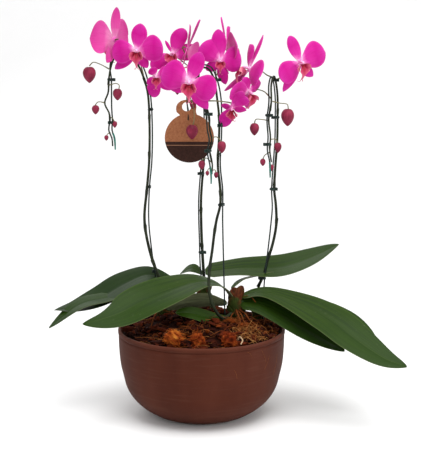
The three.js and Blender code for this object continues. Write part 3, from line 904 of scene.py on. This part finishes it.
def leafWidth(leaf, along, across):
    # share of the full width: a narrow foot, a rounded tip, which may be nipped in on its far side
    foot = mix(leaf.get("foot", 0.4), 1, smooth(0, 0.5, along)) * smooth(-0.03, 0.05, along)
    tip = 1 if along < 0.5 else (1 - ((along - 0.5) / 0.5) ** 2) ** leaf.get("tip", 0.75)
    nip = leaf.get("nip", 0) * smooth(0.72, 0.93, along) if across < 0 else 0
    return max(0.002, foot * tip * (1 - nip))


def buildLeaf(place):
    leaf = leaves[place]
    path = pathThrough(leaf["rib"], 61)
    seed = wordSeed(place) % 17

    def blade(along, across, height):
        share = 1 - (1 - along) ** 1.35
        spot, forward = sample(path, share)
        angle = math.radians(mix(leaf["roll"][0], leaf["roll"][1], share))
        side = Matrix.Rotation(angle, 3, forward) @ up.cross(forward).normalized()
        normal = forward.cross(side)
        width = leaf["halfWidth"] * leafWidth(leaf, share, across)
        spread = abs(across)
        lift = leaf["fold"] * width * (spread ** 1.3) - 0.035 * width * spread ** 4
        groove = leafBlade["groove"] if height > 0 else leafBlade["groove"] * 0.2
        lift -= groove * math.exp(-(across / 0.07) ** 2) * (1 - 0.6 * share)
        lift += leafBlade["ripple"] * math.sin(7 * share + seed + 1.5 * across) * spread ** 2
        thick = mix(leafBlade["thick"], leafBlade["edge"], spread ** 2) * (1.25 - 0.5 * share)
        return spot + side * across * width * mm + normal * (lift + height * thick) * mm

    shape = slab(leafBlade["stepsAlong"], leafBlade["stepsAcross"], blade)
    # painted shade: every leaf is deepened a little, and those in the shade of others more
    setTone(shape, leaf.get("shade", 0.15))
    addPiece(pieceName("leaf", place), shape, ["leafTop", "leafUnder"], ["leaf_" + place], 55)


for place in leaves:
    buildLeaf(place)
print("leaves done")


# Spikes: the stem's route, its side stalks, and the closed buds as centre, height and width

spikes = {
    "left": {
        "route": [[-67, 41, 192], [-68, 39, 214], [-76, 34, 234], [-88, 33, 272], [-96, 30, 324],
            [-91, 28, 380], [-87, 26, 426], [-86, 24, 492], [-89, 20, 542], [-102, 14, 581],
            [-117, 9, 603], [-132, 4, 606], [-144, 0, 588], [-150, -2, 560], [-151, -3, 540],
            [-157, -4, 522], [-150, -4, 506], [-149, -4, 494], [-151, -4, 478], [-146, -4, 465],
            [-145, -4, 452]],
        "stalks": [
            [[-149, -1, 577], [-164, -2, 585], [-175, -3, 588], [-181, -4, 582]],
            [[-150, -3, 551], [-138, -4, 554], [-133, -4, 551], [-134, -4, 544]],
            [[-157, -4, 523], [-168, -4, 524], [-173, -4, 518]],
            [[-150, -4, 499], [-145, -4, 498], [-142, -4, 493]],
            [[-148, -4, 474], [-153, -4, 472], [-155, -5, 468]]],
        "buds": [[[-181, -4, 569], 26, 21], [[-136, -4, 537], 19, 15], [[-172, -4, 512], 15, 12],
            [[-141, -4, 488], 11, 8], [[-155, -5, 466], 9, 7]],
    },
    "back": {
        "route": [[4, 70, 212], [2, 66, 245], [0, 64, 284], [-1, 62, 319], [-1, 60, 357], [2, 58, 400],
            [4, 56, 423], [7, 54, 457], [8, 50, 507], [2, 46, 550], [-10, 42, 566], [-19, 38, 552],
            [-20, 36, 530]],
        "stalks": [
            [[-14, 40, 563], [-30, 39, 562], [-38, 38, 550]],
            [[-20, 37, 534], [-15, 35, 527]],
            [[-20, 36, 532], [-15, 26, 520], [-12, 20, 506], [-12, 18, 493], [-14, 15, 485]]],
        "buds": [[[-14, 33, 518], 17, 11], [[-40, 38, 540], 12, 9], [[-15.5, 14, 474.5], 24, 19.5]],
    },
    "front": {
        "route": [[50, -8, 172], [34, -30, 170], [20, -40, 191], [13, -42, 219], [13, -30, 248],
            [18, -16, 282], [21, -10, 306], [25, -10, 331], [31, -10, 356], [31, -10, 381], [27, -10, 422],
            [29, -12, 471], [29, -14, 499], [26, -18, 528], [21, -24, 560], [12, -34, 578], [0, -44, 580],
            [-4, -52, 560], [4, -54, 533], [12, -54, 508], [14, -54, 483], [17, -54, 467], [14, -54, 449],
            [18, -54, 427], [17, -54, 412]],
        "stalks": [
            [[16, -54, 469], [24, -53, 472], [32, -52, 465]],
            [[18, -54, 430], [8, -53, 438], [1, -52, 434]],
            [[17, -54, 418], [22, -54, 419], [24, -54, 415]],
            [[17, -54, 420], [12, -56, 421], [10, -56, 417]]],
        "buds": [[[33, -52, 456], 19, 14], [[1, -52, 427], 15, 11], [[24, -54, 411], 10, 7],
            [[10, -56, 414], 8, 6]],
    },
    "right": {
        "route": [[97, 57, 204], [101, 52, 214], [107, 46, 230], [113, 42, 257], [119, 40, 276],
            [126, 38, 314], [125, 36, 349], [122, 34, 374], [123, 32, 408], [126, 30, 459], [126, 26, 499],
            [125, 18, 534], [121, 8, 558], [117, -2, 565], [113, -14, 552], [113, -20, 525],
            [109, -22, 497], [112, -22, 469], [111, -22, 448], [114, -22, 428]],
        "stalks": [
            [[115, -19, 526], [127, -17, 523], [139, -16, 521], [141, -16, 512]],
            [[110, -22, 495], [98, -22, 497], [88, -22, 497], [86, -22, 490]],
            [[112, -22, 465], [120, -22, 465], [124, -22, 459]],
            [[111, -22, 444], [103, -22, 439], [100, -22, 433]]],
        "buds": [[[140, -16, 501], 28, 21], [[86, -22, 482], 20, 15], [[124, -22, 452], 17, 12],
            [[100, -22, 428], 12, 9], [[114, -22, 419], 11, 8]],
    },
}
stem = {"foot": 2.7, "tip": 1.25, "stalk": 0.75, "knot": 0.55, "knotEvery": 62, "steps": 130}


def budShape(centre, height, width, turn):
    # three seams, a dented top and a pointed end
    bud = newShape()
    bmesh.ops.create_uvsphere(bud, u_segments=24, v_segments=16, radius=1, calc_uvs=True)
    for vertex in bud.verts:
        x, y, z = vertex.co
        seam = abs(math.sin(1.5 * (math.atan2(y, x) + turn))) ** 0.35
        girth = (0.93 + 0.09 * seam) * (1 + 0.2 * z - 0.16 * z * z * (1 if z > 0 else 0.2))
        dent = 0.16 * math.exp(-(math.hypot(x, y) / 0.3) ** 2) if z > 0 else 0
        drop = -0.1 * math.exp(-(math.hypot(x, y) / 0.35) ** 2) if z < 0 else 0
        vertex.co = Vector((x * girth * width / 2, y * girth * width / 2,
                            (z - dent + drop) * height / 2)) * mm
    move(bud, Matrix.Translation(Vector(centre) * mm))
    setMaterial(bud, 2)
    return bud


def stemLine(path, first, last):
    # the stem thickens into a ringed knot every so often
    steps = len(path) - 1
    spacing = stem["knotEvery"] * mm / (pathLength(path) / steps)
    line = []
    for index, point in enumerate(path):
        away = abs((index + spacing / 2) % spacing - spacing / 2)
        knot = stem["knot"] * math.exp(-(away / 1.1) ** 2)
        line.append((point, (mix(first, last, index / steps) + knot) * mm))
    return line


def bract(place, forward, radius, turn):
    # the small dry scale that clasps a knot
    side = forward.orthogonal().normalized()
    other = forward.cross(side)

    def wrap(along, across, height):
        angle = turn + across * 1.5 * (1 - 0.6 * along)
        reach = radius * (1.12 + 0.18 * along) * mm + height * 0.5 * mm
        around = side * math.cos(angle) + other * math.sin(angle)
        return place + forward * (along * 7 - 2) * mm + around * reach

    return slab(6, 6, wrap, 0, 0)


def buildSpike(place, flowerStalks):
    spike = spikes[place]
    path = pathThrough(spike["route"], stem["steps"])
    length = pathLength(path)
    shape = newShape()
    join(shape, strands([stemLine(path, stem["foot"], stem["tip"])], 12))
    knots = int(length / (stem["knotEvery"] * mm))
    for index in range(1, knots):
        spot, forward = sample(path, index * stem["knotEvery"] * mm / length)
        join(shape, bract(spot, forward, mix(stem["foot"], stem["tip"], index / knots), index * 2.4))
    for routes, radii in ((spike["stalks"], (1.5, 1, 1, 1.3)), (flowerStalks, (1.7, 1.15, 1.8))):
        for route in routes:
            line = taper(pathThrough(route, 14), [stem["stalk"] * share for share in radii])
            join(shape, strands([line], 8, 1))
    for index, (centre, height, width) in enumerate(spike["buds"]):
        join(shape, budShape(centre, height, width, index * 0.7))
    addPiece(pieceName("spike", place), shape, ["spike", "stalk", "bud"], ["spike_" + place], 50)


# Wires

wires = {
    "left": [[-74, 38, 120], [-76, 38, 200], [-80, 37, 236], [-85, 36, 275], [-89, 33, 324],
        [-87, 29, 380], [-82.5, 27, 426], [-81.5, 25, 492], [-84, 22, 535], [-93, 17, 575],
        [-110, 12, 604], [-130, 8, 612], [-143, 4, 600], [-148, 1, 580], [-146, 0, 562], [-146, 0, 540],
        [-146, 0, 512], [-145, -1, 494], [-146, 0, 478], [-142, -1, 465], [-141, -1, 446]],
    "back": [[0, 64, 120], [0, 64, 200], [-3, 64, 245], [-4, 61, 284], [-5, 58, 319], [-5, 57, 357],
        [-2, 55, 400], [0, 53, 423], [3, 51, 457], [4, 47, 507], [-1, 43, 545], [-11, 38, 560],
        [-21, 34, 550], [-24, 32, 525], [-22, 33, 505], [-22, 31, 492]],
    "front": [[39, -12, 120], [39, -13, 165], [37, -12, 246], [35, -12, 330], [35, -12, 352],
        [35, -12, 381], [31, -12, 422], [33, -14, 471], [33, -16, 502], [32, -18, 530], [26, -26, 560],
        [15, -37, 582], [-1, -48, 584], [-8, -55, 562], [0, -57, 535], [8, -57, 508], [10, -57, 483],
        [13, -57, 467], [10, -57, 449], [14, -57, 427], [16, -57, 410], [16, -56, 397]],
    "right": [[104, 40, 120], [106, 40, 200], [108, 39, 232], [112, 38, 268], [116, 37, 306],
        [119, 36, 345], [117.5, 34, 374], [119, 31, 408], [122, 29, 459], [122, 24, 499], [121, 15, 532],
        [117, 5, 558], [113, -4, 565], [109, -14, 552], [109, -22, 525], [106, -25, 497], [108, -25, 469],
        [107, -25, 448], [111, -25, 428], [112, -24, 403]],
}
wire = {"radius": 1.25, "tipShare": 0.965, "tipRadii": (1.25, 1.25, 0.9), "plainTip": "back", "steps": 150}


def buildWire(place):
    path = pathThrough(wires[place], wire["steps"])
    cut = int(len(path) * wire["tipShare"])
    shape = newShape()
    join(shape, strands([taper(path[:cut], [wire["radius"], wire["radius"]])], 10))
    tip = taper(path[cut - 1:], [wire["radius"] * share for share in wire["tipRadii"]])
    join(shape, strands([tip], 10, 1))
    tipFinish = "wire" if place == wire["plainTip"] else "wireTip"
    addPiece(pieceName("wire", place), shape, ["wire", tipFinish], ["wire_" + place], 50)


for place in wires:
    buildWire(place)
print("wires done")


# Clips: two small jaws round spike and wire, with a pair of pinching ears

clip = {"ring": 4.1, "bar": 1.5, "opening": 38, "steps": 14, "ear": (6.0, 1.3, 5.0), "earGap": 1.6,
        "earTurn": 0.5, "round": 0.5}


def buildClip(node):
    low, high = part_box(node)
    shape = newShape()
    ring = []
    for step in range(clip["steps"] + 1):
        angle = math.radians(clip["opening"] + (360 - 2 * clip["opening"]) * step / clip["steps"])
        spot = Vector((math.cos(angle), math.sin(angle) * 0.8, 0)) * clip["ring"] * mm
        ring.append((spot, clip["bar"] * mm))
    body = strands([ring], 8)
    bmesh.ops.scale(body, vec=(1, 1, 1.5), verts=body.verts)
    join(shape, body)
    for side in (-1, 1):
        ear = newShape()
        bmesh.ops.create_cube(ear, size=1)
        bmesh.ops.scale(ear, vec=[size * mm for size in clip["ear"]], verts=ear.verts)
        bmesh.ops.bevel(ear, geom=ear.edges[:], offset=clip["round"] * mm, offset_type="OFFSET", segments=2,
                        profile=0.5, affect="EDGES", material=-1)
        place = Vector((-(clip["ring"] + clip["earGap"]) * mm, side * clip["earGap"] * mm, 0))
        move(ear, Matrix.Translation(place) @ Matrix.Rotation(-side * clip["earTurn"], 4, "Z"))
        join(shape, ear)
    turn = math.radians((wordSeed(node) * 37) % 360)
    move(shape, Matrix.Translation((low + high) / 2) @ Matrix.Rotation(turn, 4, "Z"))
    addPiece(pieceName("clip", node.removeprefix("clip_")), shape, ["clip"], [node], 40)


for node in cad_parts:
    if node.startswith("clip_"):
        buildClip(node)
print("clips done")


# Flowers: each one is built facing +Z with +Y up, then tipped and turned into place. Its tepals
# are given in the order of the kinds, as direction round it, length, half width and lean.

tepalKinds = {
    "dorsal": {"bend": 4, "widest": 0.55, "foot": 0.3, "shoulder": 0, "curl": 1.5, "tip": 0.62},
    "sepalLeft": {"bend": 5, "widest": 0.5, "foot": 0.35, "shoulder": 0.1, "curl": 1.5, "tip": 0.72},
    "sepalRight": {"bend": 5, "widest": 0.5, "foot": 0.35, "shoulder": -0.1, "curl": 1.5, "tip": 0.72},
    "petalLeft": {"bend": 6, "widest": 0.58, "foot": 0.18, "shoulder": -0.12, "curl": 3, "tip": 0.5},
    "petalRight": {"bend": 6, "widest": 0.58, "foot": 0.18, "shoulder": 0.12, "curl": 3, "tip": 0.5},
}
blossom = {"hub": 2.5, "thick": 0.9, "broad": 14, "broadSteps": (20, 14), "narrowSteps": (15, 8), "lip": 0.92}

flowers = {
    "left_outer": {
        "centre": [-141, 8, 624], "faces": [-130, 0], "size": 1.2, "spike": "left",
        "stalk": [[-126, 5, 607]],
        "tepals": [[95, 43.5, 9.5, 4], [240, 34, 9, 0], [306.5, 37.5, 9, -4], [172, 44, 22, 27],
            [3, 44, 22, 10]]},
    "left_front": {
        "centre": [-103, -12, 608], "faces": [-5, -5], "size": 1, "spike": "left",
        "stalk": [[-95, 17, 567], [-99, 6, 588]],
        "tepals": [[81, 42.5, 13, 4], [220, 50, 9, -4], [297, 33.5, 9, -4], [190.5, 41, 19.5, 10],
            [0.5, 42.5, 21.5, 10]]},
    "back_left": {
        "centre": [-48, 55, 600], "faces": [-10, 10], "size": 0.95, "spike": "back",
        "stalk": [[2, 46, 550], [-16, 60, 574]],
        "tepals": [[121.5, 28.5, 3, 0], [264.5, 34, 10, -4], [12.5, 46.5, 15, -2], [210, 45.5, 13, 5],
            [67.5, 48.5, 14.5, 8]]},
    "left_low": {
        "centre": [-75, 15, 565], "faces": [10, -10], "size": 0.9, "spike": "left", "lip": 0.72,
        "stalk": [[-89, 20, 545], [-84, 26, 560]],
        "tepals": [[118, 17.5, 9, 10], [232.5, 22, 9, 10], [319.5, 42, 9.5, -4], [267.5, 40, 13, 5],
            [10.5, 31.5, 13, 0]]},
    "centre_front": {
        "centre": [-18, -66, 560], "faces": [-5, -5], "size": 1.11, "spike": "front",
        "stalk": [[-3, -50, 566], [-10, -54, 563]],
        "tepals": [[68, 44.5, 11.5, 4], [202, 31, 10, -4], [302, 47.5, 10, 0], [163, 41.5, 21.5, 10],
            [334, 40.5, 19, 8]]},
    "back_centre": {
        "centre": [-23, 36, 609], "faces": [80, -24], "size": 1.1, "spike": "back",
        "stalk": [[3, 47, 547], [-14, 46, 580]],
        "tepals": [[87.5, 47, 9, 5], [235, 30, 9, 20], [306.5, 34, 9, 0], [180, 39.5, 16, 40],
            [54, 38, 14, -10]]},
    "centre_high": {
        "centre": [30, -8, 591], "faces": [5, 0], "size": 0.98, "spike": "front", "lip": 0.7,
        "stalk": [[21, -24, 562], [28, 0, 575]],
        "tepals": [[93, 51, 12.7, 4], [215, 27.5, 9, -4], [285, 41, 9, -4], [141, 40.5, 20, 10],
            [358.5, 36, 21, 10]]},
    "centre_back": {
        "centre": [41, 28, 610], "faces": [86, 6], "size": 1.15, "spike": "front",
        "stalk": [[24, -21, 545], [24, 6, 580]],
        "tepals": [[110, 47, 8, 3], [240.5, 39, 9, 15], [279, 37.5, 9, 5], [178, 42, 19, 30],
            [56, 35.5, 10, 20]]},
    "right_inner": {
        "centre": [78, 5, 577], "faces": [-72, 20], "size": 1.1, "spike": "right",
        "stalk": [[118, 2, 563], [107, 6, 567], [97, 9, 574]],
        "tepals": [[92.5, 54.5, 7, 0], [240.5, 47.5, 7, 25], [238, 40, 7, 20], [118, 41, 11, 15],
            [347, 38.5, 20, 0]]},
    "right_low": {
        "centre": [77, -15, 542], "faces": [45, -25], "size": 0.95, "spike": "right",
        "stalk": [[113, -18, 530], [100, -4, 542]],
        "tepals": [[135, 34.5, 11, 4], [231, 38, 10, -4], [303.5, 46, 10, -4], [180, 48, 18, 10],
            [31, 28, 14, 10]]},
    "right_lowest": {
        "centre": [50, -28, 518], "faces": [-10, -35], "size": 0.85, "spike": "front",
        "stalk": [[9, -54, 529], [30, -32, 527]],
        "tepals": [[56, 42.5, 11, 4], [188, 22.5, 8, -4], [328.5, 29, 9, -4], [243.5, 46, 13, 20],
            [32, 38, 12, 10]]},
    "right_outer": {
        "centre": [160, -5, 589], "faces": [25, -5], "size": 1.02, "spike": "right",
        "stalk": [[122, 4, 560], [136, 16, 566]],
        "tepals": [[118, 46, 10.5, 4], [244, 54, 9, -4], [319, 38, 9, -4], [220.5, 44, 18, 10],
            [19, 46, 22, 10]]},
}


def tepalShape(tepal, seed):
    turn = Matrix.Rotation(math.radians(tepal["turn"]), 3, "Z")
    widest = tepal["widest"]

    def outline(share):
        if share < widest:
            return mix(tepal["foot"], 1, math.sin(math.pi / 2 * share / widest))
        return max(0, 1 - ((share - widest) / (1 - widest)) ** 2) ** tepal["tip"]

    def blade(along, across, height):
        share = math.sin(math.pi / 2 * along)
        out = mix(blossom["hub"], tepal["length"], share)
        half = tepal["halfWidth"] * outline(share)
        shoulder = tepal["shoulder"] if across > 0 else -tepal["shoulder"]
        aside = across * half * (1 + shoulder * math.sin(math.pi * share))
        rise = math.tan(math.radians(tepal["lean"])) * out - tepal["bend"] * share ** 2
        rise -= tepal["curl"] * across ** 2 * outline(share)
        rise += 0.9 * math.sin(4 * share + 2.2 * across + seed) * across ** 2 * share
        rise -= 0.7 * math.exp(-(across / 0.16) ** 2) * (1 - share) * (1 if height > 0 else 0.4)
        rise += height * blossom["thick"] * (1 - 0.45 * across ** 2)
        return turn @ Vector((out, aside, rise)) * mm

    steps = blossom["broadSteps"] if tepal["halfWidth"] > blossom["broad"] else blossom["narrowSteps"]
    return slab(*steps, blade)


lipParts = {
    "length": 26,
    "wing": 12,
    "wingHeight": 8.2,
    "column": 7.5,
    "heart": (5.2, 5.2, 1.8),
    "callus": (2.3, 1.8, 2.4),
    "callusPlace": (0, -7.2, 9.5),
    "tendril": [[0.6, -28.6, 8.5], [1.8, -31.5, 8], [3.4, -33.4, 6.4], [5, -33.2, 4.2], [5.2, -31.4, 3]],
    "tendrilRadii": [0.7, 0.42, 0.2],
}


def lipShape():
    # the hanging middle lobe with its two tendrils, the wide side lobes, the column and its cap
    lip = newShape()

    def middleLobe(along, across, height):
        width = 1.5 + 5.4 * math.exp(-((along - 0.42) / 0.2) ** 2) + 1.6 * (1 - along)
        forward = 4 + 12 * math.sin(math.pi * min(1, along * 0.8) ** 0.8)
        forward += 3.2 * across ** 2 * (1 - along) - 2.2 * across ** 2 * along
        forward += 1.1 * math.exp(-(across / 0.2) ** 2) * (1 - along) * (1 if height > 0 else 0)
        return Vector((across * width, -4 - lipParts["length"] * along, forward + height * 1.1)) * mm

    join(lip, slab(18, 12, middleLobe, 2, 3))

    for side in (-1, 1):
        def sideLobe(along, across, height, side=side):
            # a scoop that spreads sideways, rounded at its end and cupped to the front
            spread = mix(0.34, 1, math.sin(math.pi / 2 * min(1, along / 0.6)))
            if along > 0.6:
                spread = math.sqrt(max(0, 1 - ((along - 0.6) / 0.4) ** 2))
            x = side * mix(2.0, lipParts["wing"], along ** 0.9)
            y = -6.5 - 3.5 * along + lipParts["wingHeight"] * spread * across * 0.86
            z = 4.5 + 9 * math.sin(math.pi * 0.6 * along) + 3.6 * across ** 2 * along + 2.4 * across * along
            return Vector((x, y, z + height * 1.0)) * mm

        join(lip, slab(14, 10, sideLobe, 2, 3))
        tendril = pathThrough([[side * x, y, z] for x, y, z in lipParts["tendril"]], 14)
        join(lip, strands([taper(tendril, lipParts["tendrilRadii"])], 6, 3))

    heart = newShape()
    bmesh.ops.create_uvsphere(heart, u_segments=16, v_segments=8, radius=1, calc_uvs=True)
    bmesh.ops.scale(heart, vec=Vector(lipParts["heart"]) * mm, verts=heart.verts)
    layer = heart.loops.layers.uv.active
    for face in heart.faces:
        for loop in face.loops:
            loop[layer].uv = (0.03, 0.5)      # the pale end of the petals' colours
    join(lip, heart)

    column = newShape()
    bmesh.ops.create_uvsphere(column, u_segments=16, v_segments=12, radius=1)
    for vertex in column.verts:
        x, y, z = vertex.co
        swell = 1 + 0.22 * z
        vertex.co = Vector((x * 2.5 * swell, y * 2.2 * swell + 0.9 - 0.9 * (z + 1) ** 1.5 / 2,
                            5.2 + z * lipParts["column"])) * mm
    setMaterial(column, 4)
    join(lip, column)

    callus = newShape()
    bmesh.ops.create_icosphere(callus, subdivisions=2, radius=1)
    for vertex in callus.verts:
        parts = zip(lipParts["callus"], vertex.co, lipParts["callusPlace"])
        vertex.co = Vector([size * each + away for size, each, away in parts]) * mm
    setMaterial(callus, 2)
    join(lip, callus)
    return lip


def buildFlower(place):
    # returns the stalk that joins the flower to its spike
    flower = flowers[place]
    shape = newShape()
    for index, (kind, own) in enumerate(zip(tepalKinds.values(), flower["tepals"])):
        tepal = kind | dict(zip(("turn", "length", "halfWidth", "lean"), own))
        join(shape, tepalShape(tepal, index * 1.7 + len(place)))
    lip = lipShape()
    bmesh.ops.scale(lip, vec=Vector((1, 1, 1)) * flower.get("lip", blossom["lip"]), verts=lip.verts)
    join(shape, lip)
    turn, rise = (math.radians(each) for each in flower["faces"])
    pose = Matrix.Rotation(turn, 4, "Z") @ Matrix.Rotation(math.pi / 2 - rise, 4, "X")
    pose = pose @ Matrix.Scale(flower["size"], 4)
    centre = Vector(flower["centre"]) * mm
    move(shape, Matrix.Translation(centre) @ pose)
    addPiece(pieceName("flower", place), shape, ["petalFront", "petalBack", "lipInner", "lipOuter", "column"],
             ["flower_" + place], 50)
    back = pose.to_3x3() @ Vector((0, 0, -1))
    return flower["stalk"] + [list((centre + back * behind * mm) / mm) for behind in (9, 0.5)]


flowerStalks = {place: [] for place in spikes}
for place, flower in flowers.items():
    flowerStalks[flower["spike"]].append(buildFlower(place))
print("flowers done")

for place in spikes:
    buildSpike(place, flowerStalks[place])
print("spikes done")


# Tag: a round kraft card with a neck and a hole; its outline is in millimetres from the disc's middle

tag = {
    "radius": 41,
    "thick": 1.2,
    "disc": (112, 432),
    "rightNeck": [(11.4, 42.5), (11.2, 46), (12, 52)],
    "crown": [(12, 52), (12, 68), (-23, 68), (-22, 48)],
    "leftNeck": [(-22, 48), (-21, 43)],
    "hole": 7.5,
    "holePlace": (-4.5, 52),
    "band": -6.0,
}


def arc(x, y, radius, degrees):
    return [(x + radius * math.cos(math.radians(each)), y + radius * math.sin(math.radians(each)))
            for each in degrees]


def bezier(corners, steps):
    # the inner points of a cubic curve
    points = []
    for step in range(1, steps):
        t = step / steps
        shares = ((1 - t) ** 3, 3 * t * (1 - t) ** 2, 3 * t * t * (1 - t), t ** 3)
        points.append([sum(corner[axis] * share for corner, share in zip(corners, shares))
                       for axis in (0, 1)])
    return points


def buildTag():
    low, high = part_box("tag")
    start, end = tag["disc"]
    outline = arc(0, 0, tag["radius"], [mix(start, end, step / 72) for step in range(73)])
    outline += tag["rightNeck"] + bezier(tag["crown"], 12) + tag["leftNeck"]
    hole = arc(*tag["holePlace"], tag["hole"], range(0, 360, 15))
    shape = newShape()
    loops = []
    for loop in (outline, hole):
        corners = [shape.verts.new((x * mm, 0, z * mm)) for x, z in loop]
        loops += [shape.edges.new(pair) for pair in zip(corners, corners[1:] + corners[:1])]
    bmesh.ops.triangle_fill(shape, edges=loops, use_beauty=True, use_dissolve=False)
    bmesh.ops.recalc_face_normals(shape, faces=shape.faces)
    bmesh.ops.solidify(shape, geom=shape.faces[:], thickness=tag["thick"] * mm)
    bmesh.ops.recalc_face_normals(shape, faces=shape.faces)
    centre = Vector(((low.x + high.x) / 2, (low.y + high.y) / 2, low.z + tag["radius"] * mm))
    bmesh.ops.translate(shape, vec=centre, verts=shape.verts)
    addPiece("tagCard", shape, ["card"], ["tag"], 30)


finishes["card"] = cardFinish(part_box("tag")[0].z + (tag["radius"] + tag["band"]) * mm)
buildTag()
print("tag done")


# Floor, light and camera

room = {
    "reach": 3.0,
    "bendRadius": 1.0,
    "floorColour": (0.93, 0.93, 0.93, 1),
    "sky": 0.8,
    "lights": {
        "keyLight": {"place": (0.3, -0.7, 2.0), "aim": (0, 0, 0.2), "size": 1.6, "power": 30},
        "fillLight": {"place": (1.7, -1.0, 0.6), "aim": (0, 0, 0.3), "size": 1.2, "power": 8},
        "backLight": {"place": (-0.8, 1.4, 1.6), "aim": (0, 0, 0.4), "size": 1.4, "power": 8},
    },
    "camera": {"place": (0.015, -1.943, 0.645), "tilt": 80.5, "lens": 94.9, "sensor": 36},
}


def buildFloor():
    # a sheet that bends up behind the plant
    shape = newShape()
    bmesh.ops.create_grid(shape, x_segments=1, y_segments=48, size=1)
    reach = room["reach"]
    radius = room["bendRadius"]
    for vertex in shape.verts:
        x, y, _ = vertex.co
        along = (y + 1) * reach
        back = max(along - 1.5 * reach, 0)
        bend = min(back / radius, math.pi / 2)
        rise = radius * (1 - math.cos(bend)) + max(back - radius * math.pi / 2, 0)
        vertex.co = (x * reach * 2, -reach + min(along, 1.5 * reach) + math.sin(bend) * radius, rise)
    mesh = bpy.data.meshes.new("paleFloor")
    shape.to_mesh(mesh)
    shape.free()
    mesh.shade_smooth()
    floor = bpy.data.objects.new("paleFloor", mesh)
    bpy.context.collection.objects.link(floor)
    plain = Shader("paleFloor", Roughness=0.9, Specular_IOR_Level=0.0, Base_Color=room["floorColour"])
    mesh.materials.append(plain.material)


def addSky():
    world = bpy.data.worlds.new("softRoom")
    world.use_nodes = True
    background = world.node_tree.nodes["Background"]
    background.inputs["Color"].default_value = (1, 1, 1, 1)
    background.inputs["Strength"].default_value = room["sky"]
    bpy.context.scene.world = world


def addLight(name, values):
    data = bpy.data.lights.new(name, "AREA")
    data.shape = "DISK"
    data.size = values["size"]
    data.energy = values["power"]
    light = bpy.data.objects.new(name, data)
    light.location = values["place"]
    aim = Vector(values["aim"]) - Vector(values["place"])
    light.rotation_euler = aim.to_track_quat("-Z", "Y").to_euler()
    bpy.context.collection.objects.link(light)


def addCamera(values):
    data = bpy.data.cameras.new("camera")
    data.lens = values["lens"]
    data.sensor_width = values["sensor"]
    camera = bpy.data.objects.new("camera", data)
    camera.location = values["place"]
    camera.rotation_euler = (math.radians(values["tilt"]), 0, 0)
    bpy.context.collection.objects.link(camera)
    bpy.context.scene.camera = camera


buildFloor()
addSky()
for name, values in room["lights"].items():
    addLight(name, values)
addCamera(room["camera"])
bpy.context.scene.view_settings.view_transform = "Standard"
print("room done")
